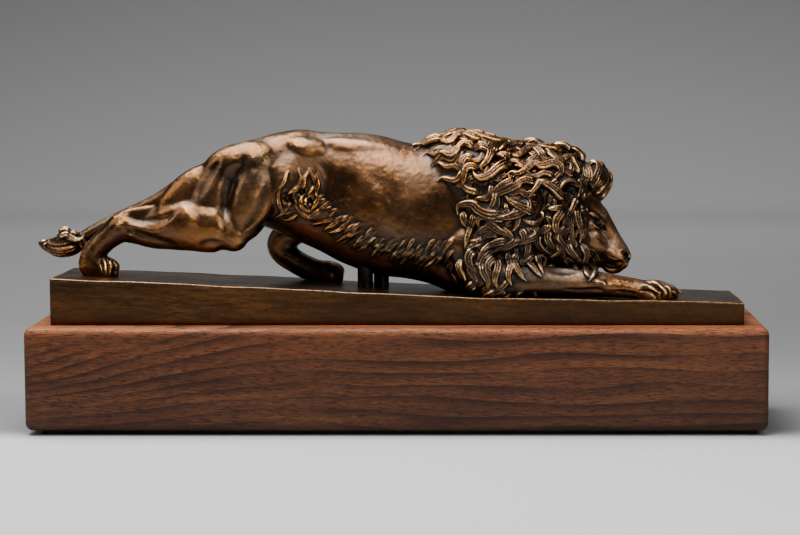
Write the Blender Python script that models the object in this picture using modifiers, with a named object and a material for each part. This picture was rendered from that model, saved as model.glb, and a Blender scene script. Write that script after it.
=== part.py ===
"""A stretching bronze lion on a sloping bronze slab, on a walnut block with a felt pad under it.

The object stands on the XY plane. +X is the way the lion faces, +Z is up, and the origin is at
the middle of the felt pad's underside.
"""

import math
import random

import bmesh
import bpy
import numpy as np
from mathutils import Matrix, Vector
from mathutils.bvhtree import BVHTree

MM = 0.001

# The lion from tail tip to forepaw; the slab and the block under it follow its length
LION_LENGTH = 447 * MM
POST_RADIUS = 5.4 * MM
CLEARANCE = 0.3 * MM

# Bronze slab: its top falls quickly from the tail end to a knee, then slowly to the head end
SLAB_OVER_LION = 24 * MM
SLAB_DEPTH = 92 * MM
SLAB_TAIL_HEIGHT = 31.6 * MM
SLAB_KNEE_HEIGHT = 18.9 * MM
SLAB_HEAD_HEIGHT = 15.4 * MM
SLAB_KNEE_SHARE = 0.57
SLAB_BACK_DROP = 1.7 * MM
SLAB_WAVE = 0.4 * MM
SLAB_EDGE = 0.7 * MM
SLAB_ROWS = 5
SLAB_COLUMNS = 28
# The block that levels the lion's feet to the slab's top reaches this far past and below the slab
CUTTER_SPREAD = 30 * MM
CUTTER_DROP = 20 * MM

# Walnut block, showing a margin all round the slab, and the felt under it
WALNUT_END_MARGIN = 15.5 * MM
WALNUT_SIDE_MARGIN = 17 * MM
WALNUT_HEIGHT = 70 * MM
WALNUT_EDGE_RADIUS = 5 * MM
FELT_THICKNESS = 3 * MM
FELT_INSET = 10 * MM

# The lion is drawn in units of a 447th of its length, with heights from the slab's underside
DRAWN_LENGTH = 447
DRAWN_SLAB = (471, 31.6, 18.9, 15.4)
FORM_VOXEL = 1.6
CAST_VOXEL = 1.05
LION_TRIANGLES = 8150
FOOT_DEPTH = 8

UNIT = LION_LENGTH / DRAWN_LENGTH
SLAB_LENGTH = LION_LENGTH + SLAB_OVER_LION
WALNUT_LENGTH = SLAB_LENGTH + 2 * WALNUT_END_MARGIN
WALNUT_DEPTH = SLAB_DEPTH + 2 * WALNUT_SIDE_MARGIN
WALNUT_BOTTOM = FELT_THICKNESS + CLEARANCE
SLAB_BOTTOM = WALNUT_BOTTOM + WALNUT_HEIGHT + CLEARANCE


def fall(x, length, tail, knee, head):
    """The height of a slab's top over its underside at x: a steep fall, a soft knee, a slow fall."""
    bend = length * (SLAB_KNEE_SHARE - 0.5)
    share = np.clip((x + length / 2) / (bend + length / 2), 0, 1)
    steep = tail + (knee - tail) * (x + length / 2) / (bend + length / 2)
    slow = knee + (head - knee) * (x - bend) / (length / 2 - bend)
    softness = 0.04 * knee
    return (
        (steep + slow + np.sqrt((steep - slow) ** 2 + softness**2)) / 2
        + softness * 0.8 * np.sin(math.pi * share)
    )


def slab_top(x, y):
    """The height of the bronze slab's top over its underside."""
    wave = np.sin(x * 71 + 0.6) + 0.6 * np.sin(x * 143 - y * 60) + 0.5 * np.sin(y * 110 + x * 37)
    return (
        fall(x, SLAB_LENGTH, SLAB_TAIL_HEIGHT, SLAB_KNEE_HEIGHT, SLAB_HEAD_HEIGHT)
        - SLAB_BACK_DROP * (y / SLAB_DEPTH + 0.5)
        + SLAB_WAVE * 0.5 * wave
    )


def placed(points):
    """Points in lion units, in metres on the slab."""
    points = np.array(points, float)
    x = points[:, 0] * UNIT
    ground = fall(points[:, 0], *DRAWN_SLAB)
    real = fall(x, SLAB_LENGTH, SLAB_TAIL_HEIGHT, SLAB_KNEE_HEIGHT, SLAB_HEAD_HEIGHT)
    height = SLAB_BOTTOM + real + (points[:, 2] - ground) * UNIT
    return np.column_stack((x, points[:, 1] * UNIT, height))


def material(name, colour, roughness, metallic):
    made = bpy.data.materials.new(name)
    made.use_nodes = True
    shader = made.node_tree.nodes["Principled BSDF"]
    shader.inputs["Base Color"].default_value = (*colour, 1)
    shader.inputs["Roughness"].default_value = roughness
    shader.inputs["Metallic"].default_value = metallic
    return made


def add_object(name, mesh, collection):
    made = bpy.data.objects.new(name, mesh)
    collection.objects.link(made)
    return made


def evaluated_copy(obj):
    """The object's mesh with its modifiers applied."""
    graph = bpy.context.evaluated_depsgraph_get()
    graph.update()
    return bpy.data.meshes.new_from_object(obj.evaluated_get(graph))


def smooth_curve(knots, steps):
    """Rows of numbers on a Catmull-Rom curve through the knots, with steps rows to each span."""
    knots = np.array(knots, float)
    padded = np.vstack([2 * knots[0] - knots[1], knots, 2 * knots[-1] - knots[-2]])
    rows = []
    for i in range(len(knots) - 1):
        a, b, c, d = padded[i : i + 4]
        for t in np.arange(steps) / steps:
            rows.append(
                0.5
                * (
                    2 * b
                    + (c - a) * t
                    + (2 * a - 5 * b + 4 * c - d) * t**2
                    + (3 * b - a - 3 * c + d) * t**3
                )
            )
    rows.append(knots[-1])
    return np.array(rows)


def unit_ball():
    """The corners and faces of a ball of radius 1."""
    ball = bmesh.new()
    bmesh.ops.create_uvsphere(ball, u_segments=18, v_segments=11, radius=1)
    points = np.array([v.co for v in ball.verts])
    faces = [[v.index for v in face.verts] for face in ball.faces]
    ball.free()
    return points, faces


class Clay:
    """Closed lumps of clay in one mesh, pressed together at the end."""

    def __init__(self):
        self.points = []
        self.faces = []
        self.count = 0
        self.ball_points, self.ball_faces = unit_ball()

    def add(self, points, faces):
        self.points.append(points)
        self.faces += [[i + self.count for i in face] for face in faces]
        self.count += len(points)

    def loft(self, rings):
        """A closed tube through rings that hold equally many points."""
        count = len(rings[0])
        faces = []
        for k in range(len(rings) - 1):
            for i in range(count):
                here, ahead = k * count + i, k * count + (i + 1) % count
                faces.append((here, ahead, ahead + count, here + count))
        faces.append(list(range(count))[::-1])
        faces.append([len(rings) * count - count + i for i in range(count)])
        self.add(np.array([p for ring in rings for p in ring], float), faces)

    def limb(self, knots, sides=16, steps=5):
        """A tube through knots of x, y, z, upright radius and sideways radius, with round ends."""
        rows = smooth_curve(knots, steps)
        tangents = np.gradient(rows[:, :3], axis=0)
        turns = np.arange(sides) * math.tau / sides
        rings = []
        for row, tangent in zip(rows, tangents):
            across, up = crosswise(tangent)
            rings.append(
                row[:3]
                + np.outer(np.cos(turns) * row[4], across)
                + np.outer(np.sin(turns) * row[3], up)
            )
        self.loft(rings)
        for row in (rows[0], rows[-1]):
            self.ball(row[:3], (row[3], row[4], row[3]))

    def ball(self, centre, radii, turn=0.0):
        """An ellipsoid, turned about Y by an angle in degrees."""
        turn = np.array(Matrix.Rotation(math.radians(turn), 3, "Y"))
        self.add((self.ball_points * radii) @ turn.T + centre, self.ball_faces)

    def muscle(self, start, end, across, thick):
        """An ellipsoid from start to end, with its radius across (towards Y) and its other one."""
        start, end = np.array(start, float), np.array(end, float)
        half = np.linalg.norm(end - start) / 2
        side, up = crosswise(end - start)
        axes = np.array(((end - start) / 2 / half, side, up))
        self.add((self.ball_points * (half, across, thick)) @ axes + (start + end) / 2, self.ball_faces)

    def pressed(self, name, voxel, rounds):
        """One closed mesh of everything put in, melted together over a few voxels."""
        mesh = bpy.data.meshes.new(name)
        mesh.from_pydata(np.concatenate(self.points), [], self.faces)
        outward(mesh)
        lump = bpy.data.objects.new(name, mesh)
        bpy.context.scene.collection.objects.link(lump)
        remesh = lump.modifiers.new("press", "REMESH")
        remesh.mode = "VOXEL"
        remesh.voxel_size = voxel
        if rounds:
            smooth = lump.modifiers.new("smooth", "SMOOTH")
            smooth.factor = 0.5
            smooth.iterations = rounds
        pressed = evaluated_copy(lump)
        bpy.data.objects.remove(lump)
        return pressed


def crosswise(along):
    """Two unit directions across a line: one as near to Y as can be, and the one over it."""
    along = np.array(along, float) / np.linalg.norm(along)
    across = np.array((0, 1, 0)) - along * along[1]
    across /= np.linalg.norm(across)
    return across, np.cross(across, along)


def outward(mesh):
    """Turns every face outwards."""
    shape = bmesh.new()
    shape.from_mesh(mesh)
    bmesh.ops.recalc_face_normals(shape, faces=shape.faces)
    shape.to_mesh(mesh)
    shape.free()


# Cross-sections of the trunk: x, top, underside, height of the widest place, half width
TRUNK = (
    (-130, 108, 88, 98, 8),
    (-120, 114.5, 74, 96, 17),
    (-104, 122.5, 66, 96, 23.5),
    (-91, 127, 62, 95, 26),
    (-77, 130.2, 56, 93, 26),
    (-66, 131, 51, 90, 24.5),
    (-55, 129.4, 46, 86, 23.5),
    (-42, 128.8, 39, 80, 25),
    (-27, 128.6, 33, 74, 28),
    (-12, 126.6, 29, 70, 30.5),
    (5, 122, 27, 68, 32),
    (22, 119.5, 23, 66, 32.5),
    (40, 119, 15, 64, 33),
    (60, 117, 9, 60, 32),
    (80, 110, 9, 56, 30),
    (100, 98, 14, 54, 25),
    (114, 88, 26, 56, 19),
)


def trunk(clay, sides=28):
    rings = []
    for x, top, bottom, widest, half_width in smooth_curve(TRUNK, 3):
        ring = []
        for turn in (math.tau * i / sides for i in range(sides)):
            up = math.cos(turn)
            reach = (top - widest) if up > 0 else (widest - bottom)
            ring.append((x, half_width * math.sin(turn), widest + reach * up))
        rings.append(ring)
    clay.loft(rings)
    # Hip bones, loin and the spine's two ridges
    for side in (-1, 1):
        clay.muscle((-86, side * 10, 119), (-46, side * 12, 116), 8.5, 9)
        clay.muscle((-60, side * 9, 121), (10, side * 10, 113), 7.5, 8)
        clay.muscle((-26, side * 22, 96), (26, side * 25, 46), 8.5, 21)


def tail(clay):
    clay.limb(
        (
            (-100, 0, 109, 12, 12),
            (-116, 0, 105, 11, 11),
            (-131, 0, 100.5, 9, 9),
            (-148, 1.5, 93.2, 6.8, 6.8),
            (-166, 4, 82.6, 5.6, 5.6),
            (-178, 6, 76.4, 5.2, 5.2),
            (-192, 8, 70.3, 5, 5),
            (-205, 9.5, 64.2, 4.8, 4.8),
            (-216, 10.5, 58.6, 4.6, 4.6),
            (-225, 11, 53, 4.6, 4.6),
        )
    )
    # The tuft: a fat drop that turns up at its tip, with a curl on top
    clay.limb(
        (
            (-222, 11, 54, 5, 5),
            (-229, 11, 50, 7.5, 7),
            (-237, 11, 47.6, 7.2, 7),
            (-245, 11, 48, 5, 5),
            (-251, 11, 50, 3, 3),
            (-255, 11, 52.6, 1.2, 1.2),
        )
    )
    clay.muscle((-228, 10, 54), (-242, 10, 54), 5.5, 5)


def near_hind_leg(clay):
    """The right hind leg, stretched far back."""
    clay.muscle((-136, -13, 100), (-74, -13, 108), 14, 19)
    clay.muscle((-92, -15, 116), (-110, -24, 54), 13, 17)
    clay.muscle((-110, -14, 113), (-141, -19, 58), 12, 17)
    clay.muscle((-126, -12, 106), (-168, -15, 66), 10, 13)
    clay.muscle((-79, -16, 104), (-107, -21, 62), 9, 8)
    clay.limb(
        (
            (-113, -24, 58.5, 10.8, 9.5),
            (-120, -23, 62, 15.6, 11.5),
            (-132, -22, 64.6, 17.6, 12),
            (-150, -19, 65.6, 17, 11.5),
            (-163, -16, 63, 14.6, 10.3),
            (-172, -14, 62.4, 12.8, 9.3),
            (-181, -12.5, 63.2, 11.2, 8.4),
            (-191, -11, 63.5, 10.8, 8.2),
            (-200, -9.5, 57.4, 8.6, 7.8),
            (-207, -8.5, 51.2, 8.2, 7.6),
            (-212.5, -7.5, 44, 8.4, 7.8),
            (-214, -7, 37.5, 9, 8.5),
        ),
        steps=4,
    )
    clay.muscle((-150, -16, 78), (-196, -10.5, 72.5), 4.5, 4.2)
    clay.muscle((-128, -22, 50.5), (-178, -15, 53.5), 5, 3.6)
    hind_paw(clay, -208, -7, 29.5)


# Toes, from the right: how far to the side and ahead; the hind ones also how high and how thick
HIND_TOES = ((-7, 5, 4.2, 3.7), (-2.6, 9.5, 5.4, 4), (2.2, 9.5, 5.4, 4), (6.6, 6.5, 4.2, 3.7))
FORE_TOES = ((-7.4, 8.5), (-2.7, 12.5), (2.2, 12.5), (6.8, 9))


def hind_paw(clay, x, y, ground):
    """A hind foot that points to +X; the ground is the slab's height under it."""
    clay.ball((x, y, ground + 6.5), (14.5, 9, 7.5))
    clay.ball((x + 1, y, ground + 1), (12.5, 8.4, FOOT_DEPTH))
    for side, reach, height, thick in HIND_TOES:
        clay.muscle(
            (x - 3, y + side * 0.7, ground + 10.5),
            (x + reach + 4.2, y + side, ground + 0.8),
            2.9,
            thick,
        )
        clay.ball((x + reach - 0.5, y + side, ground + height), (4.3, 2.9, 4.2))


def far_hind_leg(clay):
    """The left hind leg, drawn forward under the belly."""
    clay.muscle((-124, 13, 102), (-74, 13, 108), 14, 19)
    clay.muscle((-98, 16, 114), (-62, 27, 64), 12, 20)
    clay.muscle((-112, 15, 108), (-84, 24, 66), 11, 16)
    clay.limb(
        (
            (-62, 28, 72, 13, 10),
            (-70, 28, 64, 13, 10),
            (-79, 27, 56.5, 11.2, 9),
            (-85.5, 26.5, 49, 9.6, 8.5),
            (-83, 26.5, 42.5, 9.2, 8.2),
            (-75, 26.5, 36.6, 8.6, 8),
            (-66, 27, 31.6, 8.6, 8.4),
            (-58, 27, 28.6, 8.6, 8.8),
        ),
        steps=4,
    )
    hind_paw(clay, -54, 27, 23.2)


def foreleg(clay, knots, paw_x, paw_y, ground, rise):
    """A foreleg laid along the slab, its paw pointing to +X."""
    clay.limb(knots)
    clay.ball((paw_x - 2, paw_y, ground + 5.4 + rise), (14.5, 8.8, 7.2))
    clay.ball((paw_x, paw_y, ground + 1), (15, 8.6, FOOT_DEPTH))
    for side, reach in FORE_TOES:
        clay.muscle(
            (paw_x - 7, paw_y + side * 0.62, ground + 9.4 + rise),
            (paw_x + reach + 4.6, paw_y + side, ground + 0.4),
            3,
            3.9,
        )
        clay.ball((paw_x + reach - 1.5, paw_y + side, ground + 5.2), (4.6, 3, 4.4))


def forelegs(clay):
    # The near one reaches well past the head
    foreleg(
        clay,
        (
            (48, -27, 52, 16, 11),
            (56, -30, 38, 15, 11),
            (66, -31, 30, 13.5, 11.5),
            (82, -31, 28.6, 12, 11),
            (100, -30.5, 27.8, 10.6, 10),
            (118, -30, 27.2, 9.8, 9),
            (136, -29, 26, 9, 8.4),
            (152, -28.5, 24.2, 7.8, 8),
            (164, -28, 22.8, 7, 8.4),
        ),
        176,
        -28,
        16.6,
        0,
    )
    clay.ball((144, -34.5, 25.5), (6, 2.6, 4))
    # The far one ends under the chin
    foreleg(
        clay,
        (
            (48, 27, 52, 16, 11),
            (56, 30, 38, 15, 11),
            (68, 29, 29, 12.5, 11),
            (84, 26, 27.6, 10.6, 10),
            (102, 21.5, 26.4, 9.2, 8.8),
            (118, 17.5, 25, 8, 8),
            (126, 16, 23.6, 7.2, 8.2),
        ),
        137,
        14,
        17.2,
        -1,
    )


def head(clay):
    """The skull, muzzle and ears; the nose points down and forward."""
    clay.ball((122, 0, 74), (20, 17, 18))
    # Forehead and the straight bridge of the nose, down to the nose pad
    clay.limb(
        (
            (128, 0, 77, 9, 10),
            (136, 0, 71, 9.4, 8.6),
            (142, 0, 63.5, 7.8, 6.6),
            (148.5, 0, 54, 6.6, 5.8),
            (155, 0, 45.6, 5.6, 5.6),
        ),
        steps=4,
    )
    clay.ball((157.6, 0, 43), (4.6, 4.8, 4.2), 40)
    # Muzzle, upper lips, chin and jaw
    clay.ball((147, 0, 46), (11, 9.5, 9.5), 30)
    for side in (-1, 1):
        clay.ball((149.5, side * 4.8, 43.5), (8.2, 5, 6), 25)
        clay.muscle((122, side * 11.5, 60), (144, side * 7, 46), 5.5, 9)
        clay.muscle((118, side * 14, 69), (141, side * 9.6, 64), 4, 3.6)
        clay.muscle((130, side * 9, 77), (143.5, side * 6, 70), 4.6, 4.6)
        clay.ball((140, side * 8.2, 66.2), (2.9, 2.6, 2.7))
        clay.muscle((112, side * 12, 52), (140, side * 6, 40), 6, 7.5)
        clay.ball((154, side * 2.8, 38.2), (6.2, 4.2, 5.2))
    clay.ball((149, 0, 34.3), (7.4, 5.4, 4.4))
    clay.muscle((122, 0, 50), (146, 0, 37), 9, 7)
    # The throat, down to the forelegs
    clay.muscle((104, 0, 33), (138, 0, 32), 10, 6)


def ears(clay):
    for side in (-1, 1):
        rim = []
        for i in range(9):
            turn = math.radians(-40 + 260 * i / 8)
            rim.append(
                (
                    118 + 7.2 * math.cos(turn),
                    side * (20.5 + 3.2 * math.sin(turn)),
                    90 + 7.4 * math.sin(turn),
                    1.7,
                    1.7,
                )
            )
        clay.limb(rim, sides=8, steps=2)
        clay.ball((117, side * 17.5, 90), (7.4, 3, 7.4))


# Cross-sections of the mane's mass: x, top, underside, height of the widest place, half width
MANE = (
    (14, 118.5, 104, 112, 6),
    (24, 124, 84, 106, 20),
    (34, 128.5, 62, 98, 28),
    (46, 130.5, 36, 88, 34),
    (60, 127.5, 22, 78, 37),
    (76, 122.5, 16, 72, 38.5),
    (92, 120, 16, 70, 37.5),
    (106, 119.5, 24, 72, 33),
    (118, 116.5, 34, 74, 27),
    (127, 108, 44, 76, 20),
    (132, 99, 56, 78, 14),
)


def mane_mass(clay, sides=30):
    rings = []
    for x, top, bottom, widest, half_width in smooth_curve(MANE, 3):
        ring = []
        for turn in (math.tau * i / sides for i in range(sides)):
            up = math.cos(turn)
            reach = (top - widest) if up > 0 else (widest - bottom)
            ring.append((x, half_width * math.sin(turn), widest + reach * up))
        rings.append(ring)
    clay.loft(rings)
    # The crest over the brow, and the ruff under the cheeks
    clay.muscle((119, 0, 97), (145, 0, 93), 18, 12)
    clay.muscle((121, 0, 94), (144, 0, 98.5), 15, 10.5)
    for side in (-1, 1):
        clay.muscle((112, side * 20, 80), (124, side * 19, 36), 8, 13)


# Marks pressed into the near side of the clay, seen from the side: depth, width, then x and z
NEAR_MARKS = (
    # Between the bands of the thigh
    (2.0, 4.5, (-104, 115), (-107, 107), (-113, 101), (-116, 91), (-118, 76), (-118, 61)),
    (1.3, 3.5, (-122, 110), (-128, 102), (-133, 93), (-136, 84)),
    (1.3, 3.2, (-89, 94), (-92, 82), (-99, 72), (-107, 62)),
    (-0.9, 3.0, (-76, 103), (-83, 93), (-86, 82), (-94, 72), (-107, 60)),
    (1.6, 6.0, (-84, 111), (-79, 115), (-73, 119)),
    # The calf, the hollow before the heel's sinew, the shin and the knee
    (-1.3, 4.0, (-147, 80), (-142, 72), (-136, 67)),
    (2.2, 3.0, (-188, 71.5), (-176, 70), (-161, 71), (-152, 76)),
    (1.1, 2.4, (-184, 62.5), (-178, 60), (-165, 56), (-151, 53)),
    (-1.0, 1.9, (-188, 66), (-179, 64.5), (-167, 62), (-156, 67)),
    (-1.5, 2.2, (-194, 65), (-191, 66)),
    (-1.3, 2.0, (-185, 60), (-183, 59)),
    (1.0, 2.4, (-136, 52), (-129, 55), (-120, 55)),
)
# Marks on both sides
TWIN_MARKS = (
    # The fold before the haunch, and the ribs
    (1.4, 4.0, (-54, 108), (-49, 102), (-48, 95), (-50, 86)),
    (1.3, 4.5, (-39, 105), (-35, 98), (-27, 92), (-20, 84), (-14, 76)),
    (-0.8, 4.0, (-30, 106), (-24, 97), (-14, 87), (-8, 78)),
    (1.0, 4.0, (-20, 104), (-13, 96), (-5, 87), (0, 78)),
    (-0.6, 4.0, (-8, 104), (0, 94), (6, 84), (10, 74)),
    (0.8, 3.5, (2, 102), (9, 92), (15, 80), (18, 68)),
    # Eye, cheek, lips and nostril
    (1.4, 1.9, (135, 66.5), (139, 62.6), (143.5, 61), (146.5, 57.5)),
    (1.0, 1.6, (134, 71.5), (138.5, 70), (142.5, 68.6)),
    (0.9, 1.9, (138, 56.5), (143.5, 52.5), (149, 50.5)),
    (1.3, 1.1, (141, 38.5), (147.5, 37.6), (152.5, 39.2), (155.5, 37.8)),
    (1.5, 1.1, (157, 42.2), (159.5, 44.6)),
    (-0.6, 2.0, (128, 66), (134, 61), (141, 57)),
)


def press_marks(mesh, marks, side):
    """Moves the skin in, or out where a depth is below zero, along lines seen from one side."""
    points = np.empty(len(mesh.vertices) * 3)
    mesh.vertices.foreach_get("co", points)
    points = points.reshape(-1, 3)
    normals = np.empty(len(mesh.vertices) * 3)
    mesh.vertex_normals.foreach_get("vector", normals)
    normals = normals.reshape(-1, 3)
    facing = np.clip(normals[:, 1] * side * 1.6, 0, 1) * (points[:, 1] * side > 1.5)
    push = np.zeros(len(points))
    for depth, width, *line in marks:
        rows = smooth_curve(line, 6)
        low, high = rows.min(axis=0) - 3 * width, rows.max(axis=0) + 3 * width
        flat = points[:, (0, 2)]
        near = np.nonzero(((flat > low) & (flat < high)).all(axis=1) & (facing > 0))[0]
        least = np.full(len(near), 1e9)
        for (start, end), share in zip(zip(rows, rows[1:]), np.linspace(0, 1, len(rows) - 1)):
            step = end - start
            along = np.clip((flat[near] - start) @ step / (step @ step), 0, 1)
            gap = np.linalg.norm(flat[near] - start - np.outer(along, step), axis=1)
            least = np.minimum(least, gap + width * 1.2 * abs(2 * share - 1) ** 3)
        push[near] += depth * np.exp(-((least / width) ** 2))
    points -= normals * (push * facing)[:, None]
    mesh.vertices.foreach_set("co", points.reshape(-1))
    mesh.update()


def body(voxel=FORM_VOXEL, rounds=7):
    clay = Clay()
    trunk(clay)
    tail(clay)
    near_hind_leg(clay)
    far_hind_leg(clay)
    forelegs(clay)
    head(clay)
    mane_mass(clay)
    mesh = clay.pressed("body", voxel, rounds)
    press_marks(mesh, NEAR_MARKS, -1)
    for side in (-1, 1):
        press_marks(mesh, TWIN_MARKS, side)
    return mesh


# The locks that stand out, seen from the side: half width, lift, then x and z from root to tip
CROWN_LOCKS = (
    (2.6, 1.5, (101, 119), (97, 122), (93, 122), (87, 118), (82, 120), (78, 123), (72, 124)),
    (3.0, 1.0, (127, 108), (126, 114), (122, 118), (117, 119), (108, 120)),
    (2.6, 1.5, (84, 119), (76, 124), (68, 125), (60, 127), (53, 129)),
    (2.6, 1.5, (52, 125), (47, 129), (43, 130), (38, 129), (32, 127), (25, 125)),
    (2.4, 2.0, (52, 124), (42, 121), (38, 117), (32, 118), (27, 113), (22, 109)),
    (2.4, 1.5, (34, 126), (25, 126), (20, 124), (16, 121), (11, 119)),
    (2.4, 1.5, (54, 108), (44, 106), (39, 109), (33, 108), (28, 111), (23, 108)),
)
NECK_LOCKS = (
    (2.6, 2.5, (82, 118), (86, 119), (93, 121), (98, 119), (103, 115), (109, 112), (117, 109)),
    (2.6, 2.5, (107, 107), (96, 115), (91, 117), (85, 114), (80, 112), (73, 115), (66, 113)),
    (2.8, 3.0, (108, 98), (111, 102), (105, 107), (98, 105), (93, 107), (88, 104), (80, 102), (71, 99)),
    (2.6, 2.5, (100, 97), (92, 96), (86, 97), (79, 93), (72, 90), (66, 91)),
    (2.8, 3.5, (116, 82), (110, 85), (106, 90), (101, 94), (96, 96), (91, 94)),
    (2.8, 2.5, (95, 75), (89, 77), (83, 79), (77, 83), (72, 88)),
    (3.0, 4.0, (50, 117), (54, 118), (57, 118), (60, 116), (62, 112), (60, 108), (57, 106), (58, 102)),
    (3.2, 4.5, (80, 105), (77, 106), (73, 106), (68, 104), (63, 100), (57, 98), (53, 100), (51, 104)),
    (2.6, 3.0, (88, 97), (80, 95), (72, 92), (67, 89), (63, 85)),
    (3.2, 3.0, (77, 75), (70, 75), (63, 75), (56, 78), (52, 82), (46, 82), (41, 79), (41, 74)),
    (2.6, 2.5, (70, 66), (62, 66), (56, 63), (51, 58)),
    (2.6, 2.5, (79, 57), (71, 57), (65, 55), (58, 50), (54, 43)),
)
CHEEK_LOCKS = (
    (2.8, 2.5, (118, 84), (111, 76), (107, 70), (107, 64), (111, 61), (113, 56)),
    (2.8, 2.5, (122, 83), (121, 74), (123, 67), (125, 61), (124, 54)),
    (2.4, 2.0, (119, 77), (117, 68), (119, 61), (121, 53)),
    (2.6, 2.5, (108, 58), (110, 50), (114, 45), (119, 39)),
    (2.6, 2.5, (115, 56), (118, 50), (122, 45), (126, 39)),
    (2.8, 2.5, (126, 52), (132, 46), (136, 40), (135, 34), (130, 29)),
    (2.4, 2.0, (100, 66), (96, 58), (99, 52), (104, 48), (108, 45)),
)
CHEST_LOCKS = (
    (2.6, 2.0, (92, 66), (88, 57), (88, 49), (84, 43)),
    (2.8, 2.5, (82, 52), (78, 42), (82, 35), (88, 29)),
    (2.6, 2.0, (93, 49), (95, 41), (99, 34)),
    (2.6, 2.0, (64, 46), (68, 39), (66, 31), (69, 23)),
    (2.6, 1.5, (50, 46), (50, 38), (54, 30), (52, 21)),
    (2.4, 1.5, (38, 44), (36, 36), (40, 28), (38, 19)),
)
FORELOCKS = (
    (2.4, 2.0, (131, 92), (131, 99), (129, 105), (126, 108), (122, 106)),
    (2.6, 2.5, (134, 92), (138, 99), (141, 105), (140, 109), (135, 108)),
    (2.6, 2.5, (135, 86), (140, 90), (145, 96), (146, 102), (143, 105)),
    (2.4, 2.5, (135, 82), (141, 85), (145, 90), (148, 96), (148, 101), (145, 102)),
)
# Smaller curls in the fold of the flank
FLANK_LOCKS = (
    (1.8, 1.2, (-63, 106), (-61, 101), (-64, 95), (-68, 93), (-72, 92)),
    (1.8, 1.2, (-56, 106), (-59, 98), (-59, 93), (-62, 89)),
    (1.8, 1.0, (-73, 98), (-76, 92), (-80, 87), (-80, 80), (-77, 74)),
    (1.8, 1.4, (-68, 90), (-70, 82), (-68, 77), (-64, 73), (-60, 72), (-57, 76)),
    (1.8, 1.2, (-55, 94), (-55, 88), (-52, 84), (-54, 80), (-57, 77)),
    (1.8, 1.2, (-46, 87), (-51, 84), (-54, 80), (-57, 76)),
)
LOCKS = CROWN_LOCKS + NECK_LOCKS + CHEEK_LOCKS + CHEST_LOCKS + FORELOCKS + FLANK_LOCKS

# The belly's fringe: x and z along its roots, and how far its first and last tips lean
FRINGE_LINE = ((-42, 78), (-28, 69), (-12, 61), (8, 55), (26, 53), (42, 58))
FRINGE_TUFTS = 16
FRINGE_TIPS = ((-13, -11), (-6, -15))

# Which way the mane lies: x, z, and the heading there
FLOW = (
    (30, 130, -1, -0.25),
    (90, 122, -1, 0.1),
    (135, 105, -0.5, 0.8),
    (75, 100, -0.9, -0.45),
    (60, 75, -0.8, -0.6),
    (55, 45, -0.25, -1),
    (85, 40, 0.1, -1),
    (110, 90, -0.9, -0.2),
    (115, 60, -0.05, -1),
    (130, 40, 0.3, -0.9),
    (125, 75, 0.1, -1),
)


def heading(point, side):
    """The way the mane lies at a point: off the crest to its side, then back and down."""
    x, z, ahead_x, ahead_z = np.array(FLOW).T
    weight = 1 / ((x - point.x) ** 2 + (z - point.z) ** 2 + 40)
    weight /= weight.sum()
    crest = 0.9 * max(0.0, 1 - abs(point.y) / 14)
    return Vector(((ahead_x * weight).sum(), side * crest, (ahead_z * weight).sum() - crest * 0.3))


def on_skin(skin, x, z, side):
    """The skin's place and normal at x, z seen from one side; beyond the skin, the place itself."""
    found, normal, _, _ = skin.ray_cast(Vector((x, side * 90, z)), Vector((0, -side, 0)))
    if found is not None:
        return found, normal
    spot = Vector((x, side * 5, z))
    found, normal, _, _ = skin.find_nearest(spot)
    away = spot - found
    far = away.length
    return found + away * min(1.0, 3.0 / max(far, 1e-6)), normal


def ribbon(clay, points, normals, half_width, thick, sides=12):
    """A lock of hair along points: a ribbon with three rounded ridges, thin at its tip."""
    last = len(points) - 1
    turns = np.arange(sides) * math.tau / sides
    over = np.clip(np.sin(turns), 0, 1)
    spread = np.cos(turns)
    ridged = np.sin(turns) * (1 + 0.3 * over * (np.cos(spread * math.tau * 0.9) - 0.2))
    rings = []
    for i, (point, normal) in enumerate(zip(points, normals)):
        share = i / last
        along = (points[min(i + 1, last)] - points[max(i - 1, 0)]).normalized()
        across = along.cross(normal).normalized()
        up = across.cross(along)
        size = min(1.0, 0.6 + 2.5 * share) * (1 - 0.84 * share**2.5)
        rings.append(
            np.array(point)
            + np.outer(spread * half_width * size, across)
            + np.outer(ridged * thick * (0.25 + 0.75 * size), up)
        )
    clay.loft(rings)


def drawn_lock(clay, skin, half_width, lift, line, side, rng):
    """A lock that follows a line seen from the side, raised over the skin."""
    slip = rng.uniform(-1.5, 1.5) if side > 0 else 0
    bend = rng.uniform(-1.2, 1.2) if side > 0 else 0
    rows = smooth_curve(line, 5)
    points, normals = [], []
    for i, (x, z) in enumerate(rows):
        share = i / (len(rows) - 1)
        spot, normal = on_skin(skin, x + slip + bend * math.sin(5 * share), z + bend * share, side)
        raised = lift * math.sin(math.pi * min(1.0, 0.12 + 0.8 * share)) - 0.4
        points.append(spot + normal * raised)
        normals.append(normal)
    # Neighbouring points are averaged, so a lock spans small steps of the skin
    last = len(points) - 1
    for _ in range(3):
        inner = [(points[i - 1] + 2 * points[i] + points[i + 1]) / 4 for i in range(1, last)]
        points = [points[0], *inner, points[-1]]
        normals = [
            (normals[max(i - 1, 0)] + normals[i] + normals[min(i + 1, last)]).normalized()
            for i in range(last + 1)
        ]
    ribbon(clay, points, normals, half_width, half_width * 0.85)


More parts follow.
